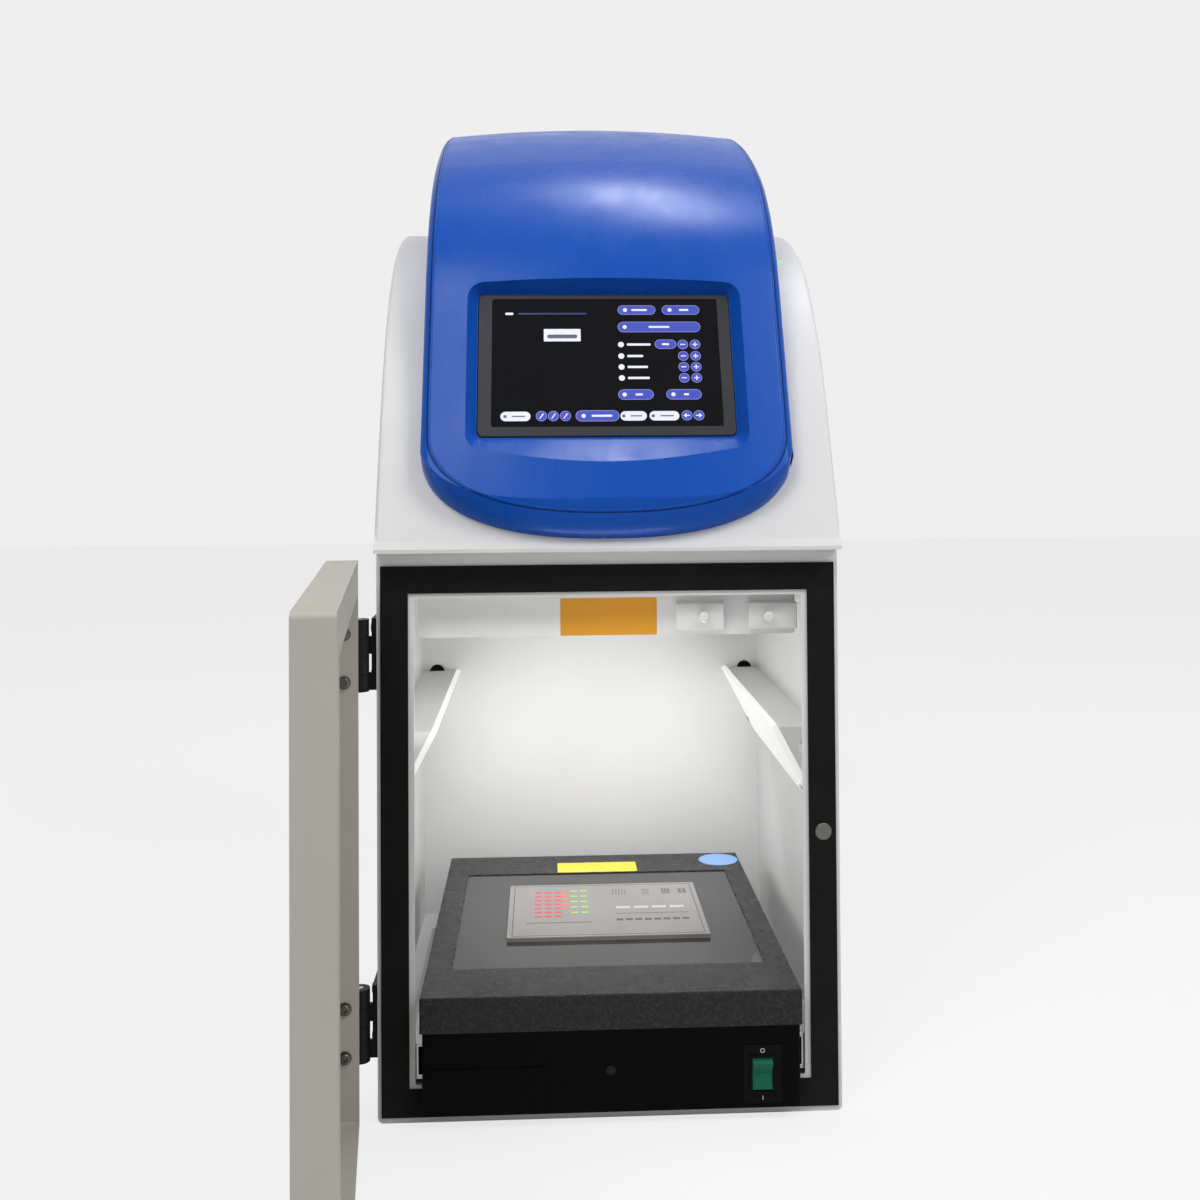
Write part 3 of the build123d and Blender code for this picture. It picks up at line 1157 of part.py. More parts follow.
# Slide rails: an outer channel on a bracket, an inner channel on the transilluminator
rail_out = unit_half + RAIL_SPACE
rail_top = RAIL_BOTTOM + RAIL_HEIGHT
rail_end = RAIL_START + RAIL_LENGTH
inner_out = unit_half + RAIL_WIDTH
inner_low = RAIL_BOTTOM + RAIL_SHEET + RAIL_RUNNING_GAP
inner_high = rail_top - RAIL_SHEET - RAIL_RUNNING_GAP
rail_outer = block(unit_half + RAIL_SHEET, rail_out, RAIL_START, rail_end, RAIL_BOTTOM, rail_top) - block(
    unit_half, rail_out - RAIL_SHEET, RAIL_START - 1, rail_end + 1, RAIL_BOTTOM + RAIL_SHEET, rail_top - RAIL_SHEET
)
rail_inner = block(unit_half, inner_out, RAIL_START, unit_back, inner_low, inner_high) - block(
    unit_half - 1, inner_out - RAIL_SHEET, RAIL_START - 1, unit_back + 1,
    inner_low + RAIL_SHEET, inner_high - RAIL_SHEET,
)
rail_bracket = block(rail_out, rail_out + RAIL_SHEET, RAIL_START, rail_end, FLOOR_LEVEL, rail_top) + block(
    rail_out, rail_out + BRACKET_FOOT, RAIL_START, rail_end, FLOOR_LEVEL, FLOOR_LEVEL + RAIL_SHEET
)

# Every node with its piece or group of pieces
NODES = {
    "cabinet_shell": shell,
    "floor_panel": floor_panel,
    "ceiling_panel": ceiling_panel,
    "back_panel": back_panel,
    "rear_panel": rear_panel,
    "header_panel": header_panel,
    "switch_bodies": door_switches,
    "plunger_left": plungers[0],
    "plunger_right": plungers[1],
    "lamp_housing_right": lamp_right,
    "lamp_housing_left": mirrored(lamp_right),
    "lamp_diffuser_right": diffuser_right,
    "lamp_diffuser_left": mirrored(diffuser_right),
    "led_strips": [led_right, mirrored(led_right)],
    "lamp_screws": lamp_screws,
    "cable_grommets": cable_grommets,
    "gasket_left": gasket_left,
    "gasket_right": gasket_right,
    "gasket_top": gasket_top,
    "gasket_bottom": gasket_bottom,
    "catch_magnet": catch_magnet,
    "hinge_leaves_cabinet": hinge_leaves_cabinet,
    "hinge_pins": hinge_pins,
    "hinge_screws_cabinet": hinge_screws_cabinet,
    "hood_shell": hood_shell,
    "display_cover": display_cover,
    "screen_bezel": screen_bezel,
    "touch_glass": touch_glass,
    "display_module": display_module,
    "status_led": status_led,
    "camera_body": camera_body,
    "zoom_lens": zoom_lens,
    "camera_bracket": camera_bracket,
    "filter_ring": filter_ring,
    "emission_filter": emission_filter,
    "computer_board": computer_board,
    "power_supply": power_supply,
    "hood_rear_panel": hood_rear_panel,
    "mains_inlet": mains_inlet,
    "inlet_pins": inlet_pins,
    "usb_sockets": usb_sockets,
    "rails_outer": [rail_outer, mirrored(rail_outer)],
    "rail_brackets": [rail_bracket, mirrored(rail_bracket)],
    "door_panel": swung(door_pan),
    "hinge_leaves_door": [swung(leaf) for leaf in hinge_leaves_door],
    "hinge_screws_door": [swung(piece) for piece in hinge_screws_door],
    "unit_base": unit_base,
    "unit_front_panel": unit_front,
    "unit_lid": unit_lid,
    "filter_glass": filter_glass,
    "uv_tubes": uv_tubes,
    "tube_caps": tube_caps,
    "reflector": reflector,
    "ballast": ballast,
    "sample_card": sample_card,
    "blank_plate": blank_plate,
    "pilot_screw": pilot_screw,
    "switch_housing": switch_housing_body,
    "rocker": rocker,
    "rails_inner": [rail_inner, mirrored(rail_inner)],
}

os.makedirs("parts", exist_ok=True)
for node, pieces in NODES.items():
    group = pieces if isinstance(pieces, list) else [pieces]
    solids = [solid for piece in group for solid in piece.solids()]
    shape = solids[0] if len(solids) == 1 else Compound(solids)
    export_step(Pos(0, -CABINET_DEPTH / 2, 0) * shape, f"parts/{node}.step")
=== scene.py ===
"""Looks of the gel documentation system: materials, labels, the screen's picture, light and camera."""
import math

import bmesh
import bpy
from mathutils import Matrix, Vector


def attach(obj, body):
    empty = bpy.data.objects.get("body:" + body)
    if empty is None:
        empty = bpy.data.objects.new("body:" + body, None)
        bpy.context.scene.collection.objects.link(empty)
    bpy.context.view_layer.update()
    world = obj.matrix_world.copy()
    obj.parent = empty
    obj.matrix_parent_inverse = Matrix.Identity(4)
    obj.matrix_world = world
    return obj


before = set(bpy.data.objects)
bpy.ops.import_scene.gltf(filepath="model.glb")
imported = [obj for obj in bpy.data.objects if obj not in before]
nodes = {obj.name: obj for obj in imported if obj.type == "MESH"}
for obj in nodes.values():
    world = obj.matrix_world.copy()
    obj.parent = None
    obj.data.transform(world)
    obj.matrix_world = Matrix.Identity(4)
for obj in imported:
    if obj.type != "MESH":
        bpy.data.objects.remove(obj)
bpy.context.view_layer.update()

FRONT = -0.18  # the cabinet's front plane in the row frame
SLOPE = math.radians(68)  # the screen's plane and the cover's front
SLOPE_UP = (math.cos(SLOPE), math.sin(SLOPE))
SLOPE_OUT = (-math.sin(SLOPE), math.cos(SLOPE))


def at(x, y, z):
    """A point in millimetres behind the front plane, as a point of the row frame."""
    return Vector((x / 1000, FRONT + y / 1000, z / 1000))


# Materials
class Shader:
    """A node tree with a Principled shader and a few helpers."""

    def __init__(self, name):
        self.material = bpy.data.materials.new(name)
        self.material.use_nodes = True
        self.tree = self.material.node_tree
        self.shader = self.tree.nodes["Principled BSDF"]
        self.coords = self.add("ShaderNodeTexCoord").outputs["Object"]
        self.height = None

    def add(self, kind, **values):
        node = self.tree.nodes.new(kind)
        for key, value in values.items():
            setattr(node, key, value)
        return node

    def link(self, source, target):
        self.tree.links.new(source, target)

    def set(self, **values):
        """Sets the shader's own sockets, by name with _ for a space."""
        for key, value in values.items():
            self.shader.inputs[key.replace("_", " ")].default_value = value

    def noise(self, scale, detail=3.0, rough=0.55, stretch=(1, 1, 1)):
        """Noise in metres: scale is in features per metre."""
        mapping = self.add("ShaderNodeMapping")
        mapping.inputs["Scale"].default_value = stretch
        self.link(self.coords, mapping.inputs["Vector"])
        texture = self.add("ShaderNodeTexNoise")
        texture.inputs["Scale"].default_value = scale
        texture.inputs["Detail"].default_value = detail
        texture.inputs["Roughness"].default_value = rough
        self.link(mapping.outputs["Vector"], texture.inputs["Vector"])
        return texture.outputs["Fac"]

    def spots(self, scale, low, high):
        """Small round spots: 1 inside a spot, 0 outside."""
        cells = self.add("ShaderNodeTexVoronoi")
        cells.inputs["Scale"].default_value = scale
        self.link(self.coords, cells.inputs["Vector"])
        return self.ramp(cells.outputs["Distance"], low, high, 1, 0)

    def ramp(self, value, low, high, to_low, to_high):
        """The value mapped from one range to another, held at its ends."""
        node = self.add("ShaderNodeMapRange")
        limits = {"From Min": low, "From Max": high, "To Min": to_low, "To Max": to_high}
        for socket, number in limits.items():
            node.inputs[socket].default_value = number
        self.link(value, node.inputs["Value"])
        return node.outputs["Result"]

    def tint(self, value, first, second, target="Base Color"):
        """Mixes two colours by a value from 0 to 1."""
        mix = self.add("ShaderNodeMix", data_type="RGBA")
        mix.inputs["A"].default_value = (*first, 1)
        mix.inputs["B"].default_value = (*second, 1)
        self.link(value, mix.inputs["Factor"])
        self.link(mix.outputs["Result"], self.shader.inputs[target])

    def bump(self, value, distance):
        """Adds a bump, in metres, over the bumps before it."""
        node = self.add("ShaderNodeBump")
        node.inputs["Distance"].default_value = distance
        node.inputs["Strength"].default_value = 1.0
        self.link(value, node.inputs["Height"])
        if self.height is not None:
            self.link(self.height, node.inputs["Normal"])
        self.height = node.outputs["Normal"]
        self.link(self.height, self.shader.inputs["Normal"])


def shade(colour, amount):
    """The colour made darker by a share."""
    return tuple(part * (1 - amount) for part in colour)


def painted(name, colour, rough=0.42, gloss=0.4):
    """Powder coat: fine orange peel and slight tone changes."""
    s = Shader(name)
    s.set(Specular_IOR_Level=gloss)
    s.tint(s.ramp(s.noise(9), 0.35, 0.65, 0, 1), colour, shade(colour, 0.035))
    s.link(s.ramp(s.noise(60), 0.3, 0.7, rough - 0.05, rough + 0.06), s.shader.inputs["Roughness"])
    s.bump(s.noise(900, 2), 0.000006)
    return s.material


def moulded(name, colour, rough, grain=1500, depth=0.000002, gloss=0.4, spread=0.04):
    """Moulded plastic: a fine grain, slight tone changes and faint wipe marks."""
    s = Shader(name)
    s.set(IOR=1.48, Specular_IOR_Level=gloss)
    s.tint(s.ramp(s.noise(14), 0.3, 0.7, 0, 1), colour, shade(colour, spread))
    wipes = s.noise(40, 4, 0.6, (1, 1, 0.25))
    s.link(s.ramp(wipes, 0.3, 0.7, rough - 0.05, rough + 0.07), s.shader.inputs["Roughness"])
    s.bump(s.noise(grain, 2), depth)
    return s.material


def speckled(name, colour, fleck, rough, cells, depth, gloss):
    """Textured coat: raised flecks over a dark ground."""
    s = Shader(name)
    s.set(Specular_IOR_Level=gloss)
    flecks = s.spots(cells, 0.25, 0.55)
    s.tint(flecks, colour, fleck)
    s.link(s.ramp(s.noise(80), 0.3, 0.7, rough - 0.02, rough + 0.03), s.shader.inputs["Roughness"])
    s.bump(flecks, depth)
    return s.material


def metal(name, colour, rough, brushed=(1, 1, 1)):
    """Plain or brushed metal with fine scratches along one direction."""
    s = Shader(name)
    s.set(Metallic=1.0)
    lines = s.noise(1600, 3, 0.6, brushed)
    s.tint(s.ramp(s.noise(30), 0.3, 0.7, 0, 1), colour, shade(colour, 0.1))
    s.link(s.ramp(lines, 0.3, 0.7, rough - 0.05, rough + 0.08), s.shader.inputs["Roughness"])
    s.bump(lines, 0.00001)
    return s.material


def foam(name, colour):
    """Cellular rubber foam: matt, with tiny pores."""
    s = Shader(name)
    s.set(Sheen_Weight=0.04, Sheen_Roughness=0.6, Specular_IOR_Level=0.1)
    pores = s.spots(2600, 0.1, 0.4)
    s.tint(pores, colour, shade(colour, 0.4))
    s.link(s.ramp(s.noise(50), 0.3, 0.7, 0.72, 0.88), s.shader.inputs["Roughness"])
    s.bump(pores, -0.0001)
    return s.material


def glossy_glass(name, colour, rough, smudge, gloss=0.3):
    """A dark pane: smooth, with faint smudges in its gloss."""
    s = Shader(name)
    s.set(IOR=1.5, Specular_IOR_Level=gloss)
    s.tint(s.ramp(s.noise(20), 0.3, 0.7, 0, 1), colour, shade(colour, 0.15))
    s.link(s.ramp(s.noise(35, 5, 0.65), 0.45, 0.8, rough, rough + smudge), s.shader.inputs["Roughness"])
    return s.material


def glowing(name, colour, light, strength, rough=0.4, gloss=0.4):
    """A lit, slightly uneven plastic face."""
    s = Shader(name)
    s.set(Emission_Strength=strength, Specular_IOR_Level=gloss)
    uneven = s.ramp(s.noise(25), 0.3, 0.7, 0, 1)
    s.tint(uneven, colour, shade(colour, 0.03))
    s.tint(uneven, light, shade(light, 0.1), "Emission Color")
    s.set(Roughness=rough)
    s.bump(s.noise(900, 2), 0.000004)
    return s.material


white_paint = painted("white_paint", (0.745, 0.745, 0.74), gloss=0.25)
inner_white = painted("inner_white_paint", (0.74, 0.74, 0.735), rough=0.5)
# The door's paint is darker and warmer than the cabinet's white: painted shade for its shaded side, the
# real door being the same white.
door_painted_shade = painted("door_painted_shade", (0.50, 0.477, 0.42), rough=0.6, gloss=0.2)
blue_shell = moulded("blue_shell", (0.004, 0.080, 0.45), rough=0.27, depth=0.000001, gloss=0.14)
bezel_black = moulded("bezel_black", (0.022, 0.023, 0.027), rough=0.42, depth=0.000004, gloss=0.25)
switch_white = moulded("switch_white", (0.72, 0.72, 0.71), rough=0.33)
card_white = moulded("card_white", (0.27, 0.26, 0.257), rough=0.35, depth=0.0000005, spread=0.02)
plastic_black = moulded("plastic_black", (0.004, 0.004, 0.0045), rough=0.4, gloss=0.06)
front_black = speckled(
    "front_black", (0.0015, 0.0015, 0.0016), (0.003, 0.003, 0.0032), 0.38, 1200, 0.000008, 0.04,
)
lid_grey = speckled(
    "lid_grey", (0.019, 0.019, 0.019), (0.034, 0.034, 0.034), 0.27, 420, 0.000006, 0.15,
)
metal_black = painted("metal_black", (0.007, 0.007, 0.008), rough=0.45, gloss=0.15)
gasket_foam = foam("gasket_foam", (0.006, 0.0065, 0.006))
# The chrome is kept dark: painted reflection of dark surroundings.
chrome = metal("chrome", (0.15, 0.147, 0.13), 0.25)
steel = metal("steel", (0.52, 0.53, 0.54), 0.34, (1, 0.05, 1))
aluminium = metal("aluminium", (0.72, 0.73, 0.74), 0.3, (1, 0.05, 1))
screen_glass = glossy_glass("screen_glass", (0.002, 0.0025, 0.004), 0.05, 0.05, 0.13)
filter_glass = glossy_glass("filter_glass", (0.045, 0.045, 0.046), 0.03, 0.06)
amber_glass = glossy_glass("amber_glass", (0.75, 0.25, 0.02), 0.04, 0.06)
tube_glass = glossy_glass("tube_glass", (0.03, 0.02, 0.12), 0.1, 0.05)
lamp_glow = glowing("lamp_glow", (0.5, 0.5, 0.49), (1.0, 0.985, 0.95), 0.56)
green_lit = glowing("green_lit", (0.002, 0.06, 0.034), (0.0, 0.14, 0.075), 0.3, rough=0.35, gloss=0.15)
green_dot = glowing("green_dot", (0.05, 0.4, 0.12), (0.25, 0.9, 0.3), 0.8, rough=0.2)
board_green = moulded("board_green", (0.01, 0.09, 0.035), rough=0.35, grain=900, depth=0.00001)

LOOKS = {
    white_paint: ("cabinet_shell", "hood_shell", "rear_panel", "hood_rear_panel", "header_panel"),
    inner_white: (
        "floor_panel", "ceiling_panel", "back_panel", "lamp_housing_left", "lamp_housing_right",
    ),
    door_painted_shade: ("door_panel",),
    blue_shell: ("display_cover",),
    bezel_black: ("screen_bezel",),
    screen_glass: ("touch_glass",),
    plastic_black: ("display_module", "mains_inlet", "switch_housing"),
    switch_white: ("switch_bodies", "plunger_left", "plunger_right"),
    lamp_glow: ("lamp_diffuser_left", "lamp_diffuser_right"),
    gasket_foam: ("gasket_left", "gasket_right", "gasket_top", "gasket_bottom", "cable_grommets"),
    chrome: ("catch_magnet", "hinge_screws_door"),
    metal_black: (
        "hinge_leaves_cabinet", "hinge_leaves_door", "hinge_screws_cabinet", "camera_body", "zoom_lens",
        "unit_base", "pilot_screw",
    ),
    steel: (
        "hinge_pins", "lamp_screws", "power_supply", "inlet_pins", "usb_sockets", "rails_outer",
        "rail_brackets", "rails_inner", "ballast",
    ),
    aluminium: ("camera_bracket", "filter_ring", "tube_caps", "reflector"),
    amber_glass: ("emission_filter",),
    board_green: ("computer_board", "led_strips"),
    green_dot: ("status_led",),
    front_black: ("unit_front_panel", "blank_plate"),
    lid_grey: ("unit_lid",),
    filter_glass: ("filter_glass",),
    tube_glass: ("uv_tubes",),
    card_white: ("sample_card",),
    green_lit: ("rocker",),
}


def dress(name, material):
    """Gives a CAD node one material in place of its plain ones."""
    mesh = nodes[name].data
    mesh.materials.clear()
    mesh.materials.append(material)


for look, names in LOOKS.items():
    for node_name in names:
        dress(node_name, look)


# Thin prints
def rounded(width, height, radius, steps=5):
    """The outline of a round-cornered rectangle about the origin."""
    points = []
    for corner, (sx, sy) in enumerate(((1, 1), (-1, 1), (-1, -1), (1, -1))):
        for i in range(steps + 1):
            turn = math.radians(90 * (corner + i / steps))
            x = sx * (width / 2 - radius) + radius * math.cos(turn)
            y = sy * (height / 2 - radius) + radius * math.sin(turn)
            points.append((x, y))
    return points


def plates(name, outlines, matrix, body, material, thick=0.00012):
    """Thin plates from outlines in millimetres, laid on a plane of the row frame, as one piece."""
    mesh = bpy.data.meshes.new(name)
    bm = bmesh.new()
    for outline in outlines:
        face = bm.faces.new([bm.verts.new((x / 1000, y / 1000, 0)) for x, y in outline])
        grown = bmesh.ops.extrude_face_region(bm, geom=[face])
        top = [v for v in grown["geom"] if isinstance(v, bmesh.types.BMVert)]
        bmesh.ops.translate(bm, verts=top, vec=(0, 0, thick))
    bmesh.ops.recalc_face_normals(bm, faces=bm.faces)
    bm.transform(matrix)
    bm.to_mesh(mesh)
    bm.free()
    mesh.materials.append(material)
    piece = bpy.data.objects.new(name, mesh)
    bpy.context.scene.collection.objects.link(piece)
    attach(piece, body)


def plane(origin, right, up):
    """A placement whose x runs right and y runs up; z leaves the surface."""
    right, up = Vector(right).normalized(), Vector(up).normalized()
    out = right.cross(up)
    return Matrix.Translation(origin) @ Matrix((right, up, out)).transposed().to_4x4()


def moved(outline, x, y):
    """The outline shifted in its plane."""
    return [(px + x, py + y) for px, py in outline]


def disc(radius, steps=28):
    """A round outline."""
    turns = [math.tau * i / steps for i in range(steps)]
    return [(radius * math.cos(turn), radius * math.sin(turn)) for turn in turns]


def flat_print(name, colour):
    """Printed vinyl: even ink with a slight sheen."""
    return moulded(name, colour, rough=0.45, depth=0.000001, spread=0.05)


amber_ink = flat_print("amber_vinyl", (0.70, 0.31, 0.02))
yellow_ink = flat_print("yellow_vinyl", (0.85, 0.72, 0.06))
blue_ink = flat_print("blue_sticker", (0.28, 0.48, 0.88))
dark_ink = flat_print("dark_ink", (0.02, 0.02, 0.02))
white_ink = flat_print("white_ink", (0.6, 0.6, 0.6))

HEADER_FACE = plane(at(0.7, 16, 331), (1, 0, 0), (0, 0, 1))
LID_FACE = plane(at(0, 0, 86), (1, 0, 0), (0, 1, 0))
CARD_FACE = plane(at(3, 152, 88.2), (1, 0, 0), (0, 1, 0))
SWITCH_FACE = plane(at(99.4, -13.0, 31.4), (1, 0, 0), (0, 0, 1))
DRAWER = "transilluminator"

amber_label = rounded(66, 25.4, 0.8)
yellow_label = moved(rounded(68, 27, 1), 1, 267)
blue_sticker = moved(disc(17), 108, 282)
plates("amber_label", [amber_label], HEADER_FACE, "cabinet", amber_ink)
plates("yellow_label", [yellow_label], LID_FACE, DRAWER, yellow_ink)
plates("blue_sticker", [blue_sticker], LID_FACE, DRAWER, blue_ink)


# Sample card with plain bands
def bars(rows, columns, size, start, pitch):
    """A block of small bars."""
    return [
        moved(rounded(size[0], size[1], 0.4, 2), start[0] + c * pitch[0], start[1] - r * pitch[1])
        for r in range(rows)
        for c in range(columns)
    ]


card_prints = {
    "card_red_bands": ((0.75, 0.03, 0.05), bars(7, 3, (5.6, 2.8), (-52, 41), (7.6, 9.5))),
    "card_orange_bands": ((0.85, 0.16, 0.02), bars(5, 1, (5.6, 2.8), (-31, 41), (7.6, 9.5))),
    "card_green_bands": ((0.35, 0.75, 0.10), bars(5, 2, (5.6, 2.4), (-24, 44), (8.0, 13))),
    "card_grey_bars": ((0.09, 0.09, 0.09), bars(1, 8, (5.2, 4.2), (10, -26), (7.2, 9))),
    "card_pale_bars": ((0.50, 0.50, 0.51), bars(1, 4, (11, 5), (14, 2), (14, 9))),
    "card_grey_lines": (
        (0.13, 0.13, 0.135),
        bars(1, 5, (0.8, 14), (8, 40), (2.4, 9)) + bars(4, 1, (6, 1.2), (34, 45), (2, 4))
        + bars(1, 3, (1.6, 13), (48, 40), (2.4, 9)) + bars(1, 2, (2.6, 11), (62, 40), (3.6, 9))
        + bars(1, 1, (50, 1.6), (-36, -30), (1, 1)) + bars(1, 1, (56, 1.0), (36, -12), (1, 1)),
    ),
}
CARD_INK_THICK = 0.00006
for print_name, (ink, outlines) in card_prints.items():
    vinyl = flat_print(print_name, ink)
    plates(print_name, outlines, CARD_FACE, DRAWER, vinyl, CARD_INK_THICK)


def frame_outline(width, height, line):
    """Four thin strips that frame a rectangle."""
    across = rounded(width, line, line / 3, 1)
    upright = rounded(line, height - 2.5 * line, line / 3, 1)
    return [moved(across, 0, side * (height - line) / 2) for side in (-1, 1)] + [
        moved(upright, side * (width - line) / 2, 0) for side in (-1, 1)
    ]


card_border = frame_outline(143, 115.5, 0.5)
plates("card_border", card_border, CARD_FACE, DRAWER, dark_ink, CARD_INK_THICK)


# Marks of the front panel's switch
RING_STEPS = 28


def ring(radius, line):
    """A ring as short joined strips."""
    parts = []
    for i in range(RING_STEPS):
        a, b = math.tau * i / RING_STEPS, math.tau * (i + 1) / RING_STEPS
        corners = ((radius, a), (radius, b), (radius - line, b), (radius - line, a))
        parts.append([(r * math.cos(turn), r * math.sin(turn)) for r, turn in corners])
    return parts


MARK_OFFSET = 15.4
switch_marks = [moved(part, 0, MARK_OFFSET) for part in ring(1.5, 0.4)]
switch_marks.append(moved(rounded(0.5, 3, 0.2, 2), 0, -MARK_OFFSET))
plates("switch_marks", switch_marks, SWITCH_FACE, DRAWER, white_ink, 0.00005)


# Crease and bead round the cover, laid on its surface; the crease's dark ribbon is painted shade
COVER_HALF = 125.5  # half of the cover's width
COVER_FRONT = (10.5, 508.3)  # the middle of the front slope, behind the front plane and above the floor
COVER_SLOPE_LENGTH = 61.2  # from there up to the first bend
# Radius, first and last slope in degrees of each bend
COVER_BENDS = ((207, 68, 30), (551, 30, 13.6), (259, 13.6, 0))
COVER_BACK = 356
FOOT_LOW = -122.4  # the foot's lowest point, along the slope
FOOT_POWER = 2.4  # the power of the foot's superellipse
SIDE_STEP = 5
FOOT_STEPS = 40
RAY_START = 0.05  # metres outside the cover


def on_slope(length):
    """How far back and how high a point of the front slope is, by its length along the slope."""
    return COVER_FRONT[0] + length * SLOPE_UP[0], COVER_FRONT[1] + length * SLOPE_UP[1]


def cover_side_line():
    """Points and outward directions of the cover's side view, from the foot's sides to the back."""
    line = [(*on_slope(length), *SLOPE_OUT) for length in range(-40, 61, SIDE_STEP)]
    y, z = on_slope(COVER_SLOPE_LENGTH)
    for radius, start, end in COVER_BENDS:
        first, last = math.radians(start), math.radians(end)
        middle = (y + radius * math.sin(first), z - radius * math.cos(first))
        count = max(2, round(radius * (first - last) / SIDE_STEP))
        for i in range(1, count + 1):
            turn = first + (last - first) * i / count
            out = (-math.sin(turn), math.cos(turn))
            line.append((middle[0] + radius * out[0], middle[1] + radius * out[1], *out))
        y, z = line[-1][0], line[-1][1]
    return line + [(y + t, z, 0, 1) for t in range(SIDE_STEP, int(COVER_BACK - y), SIDE_STEP)]


def crease_path(inset, low, rise):
    """Points on the cover along a line that runs up one side, round the foot and up the other side."""
    half = COVER_HALF - inset
    rays = [(half, *spot) for spot in reversed(cover_side_line())]
    for i in range(1, FOOT_STEPS):
        turn = math.radians(90 - 180 * i / FOOT_STEPS)
        across = math.copysign(abs(math.sin(turn)) ** (2 / FOOT_POWER), turn)
        length = FOOT_LOW + low + rise * (1 - math.cos(turn) ** (2 / FOOT_POWER))
        rays.append((half * across, *on_slope(length), *SLOPE_OUT))
    rays += [(-half, *spot) for spot in cover_side_line()]
    cover = nodes["display_cover"]
    into = cover.matrix_world.inverted()
    turned = cover.matrix_world.to_3x3()
    points = []
    for x, y, z, out_y, out_z in rays:
        outward = Vector((0, out_y, out_z))
        start = at(x, y, z) + outward * RAY_START
        hit, spot, normal, _ = cover.ray_cast(into @ start, into.to_3x3() @ -outward)
        if hit:
            points.append((cover.matrix_world @ spot, (turned @ normal).normalized()))
    return points


def bead(name, points, width, height, material):
    """A low rounded bead of a width and height in millimetres, laid along points of a surface."""
    mesh = bpy.data.meshes.new(name)
    bm = bmesh.new()
    rings = []
    turns = [math.pi * i / 4 for i in range(5)]
    section = [(math.cos(turn) * width / 2000, math.sin(turn) * height / 1000) for turn in turns]
    for i, (spot, normal) in enumerate(points):
        run = points[min(i + 1, len(points) - 1)][0] - points[max(i - 1, 0)][0]
        side = run.cross(normal).normalized()
        upward = side.cross(run).normalized()
        rings.append([bm.verts.new(spot + side * across + upward * rise) for across, rise in section])
    for first, second in zip(rings, rings[1:]):
        for i in range(5):
            j = (i + 1) % 5
            bm.faces.new((first[i], first[j], second[j], second[i]))
    bm.faces.new(rings[0])
    bm.faces.new(rings[-1])
    bmesh.ops.recalc_face_normals(bm, faces=bm.faces)
    for face in bm.faces:
        face.smooth = True
    bm.to_mesh(mesh)
    bm.free()
    mesh.materials.append(material)
    piece = bpy.data.objects.new(name, mesh)
    bpy.context.scene.collection.objects.link(piece)
    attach(piece, "cabinet")


CREASE_INSET = 4.4  # in from the cover's sides
CREASE_LOW = 11.5  # up from the foot's lowest point
CREASE_RISE = 61  # from the foot's middle to its sides
BEAD_OFFSET = 1.3  # from the crease to the bead
# The crease's dark blue is painted shade in the cover's crease, not a colour of its own.
crease_painted_shade = moulded("crease_painted_shade", (0.003, 0.02, 0.11), rough=0.5, gloss=0.1)
crease_line = crease_path(CREASE_INSET, CREASE_LOW, CREASE_RISE)
bead_line = crease_path(CREASE_INSET + BEAD_OFFSET, CREASE_LOW + BEAD_OFFSET, CREASE_RISE)
bead("cover_crease_painted_shade", crease_line, 1.0, 0.12, crease_painted_shade)
bead("cover_bead", bead_line, 1.7, 0.35, blue_shell)


# Screen's picture
SCREEN_MIDDLE = (22.5, 504)  # behind the front plane and above the floor
SCREEN_LIFT = 0.4  # the picture's distance out of the screen's plane
SCREEN_FACE = plane(
    at(0, SCREEN_MIDDLE[0] + SCREEN_LIFT * SLOPE_OUT[0], SCREEN_MIDDLE[1] + SCREEN_LIFT * SLOPE_OUT[1]),
    (1, 0, 0), (0, *SLOPE_UP),
)


def lit_print(name, colour, strength):
    """A lit area of the display, even but for faint pixel rows."""
    s = Shader(name)
    s.set(Emission_Strength=strength, Roughness=0.2)
    s.tint(s.ramp(s.noise(4000, 1), 0.3, 0.7, 0, 1), colour, shade(colour, 0.12), "Emission Color")
    s.tint(s.ramp(s.noise(300, 1), 0.3, 0.7, 0, 1), shade(colour, 0.7), shade(colour, 0.8))
    return s.material


# Colours of the picture, and places in millimetres from the screen's middle
PILL = (0.045, 0.07, 0.48)
PILL_RIM = (0.30, 0.30, 0.75)
GLYPH = (0.75, 0.76, 0.85)


def pill(x, y, width, height, grow=0.0):
    """A pill-shaped button."""
    return moved(rounded(width + grow, height + grow, (height + grow) / 2 - 0.01, 6), x, y)


blue_pills = [
    (22.7, 42.1, 25.9, 6.6), (53.8, 42.1, 25.9, 6.6), (38.1, 28.7, 57.3, 7.4), (42.1, 15.2, 14.4, 6.4),
    (20.3, -23.2, 23.6, 7.0), (53.3, -23.2, 23.6, 7.0), (-6.4, -39.0, 29.0, 7.4),
]
white_pills = [(-62.0, -39.2, 20.4, 7.0), (18.2, -39.2, 18.0, 7.0), (39.2, -39.2, 20.4, 7.0)]
rows = (15.0, 6.1, -2.3, -10.7)
MINUS_X, PLUS_X = 54.1, 62.7
SLASHES_X = (-44.4, -36.3, -28.1)
ARROWS_X = (54.6, 62.8)
round_buttons = [(x, y, 6.6, 6.6) for y in rows for x in (MINUS_X, PLUS_X)]
round_buttons += [(x, -39.0, 6.8, 6.8) for x in SLASHES_X + ARROWS_X]

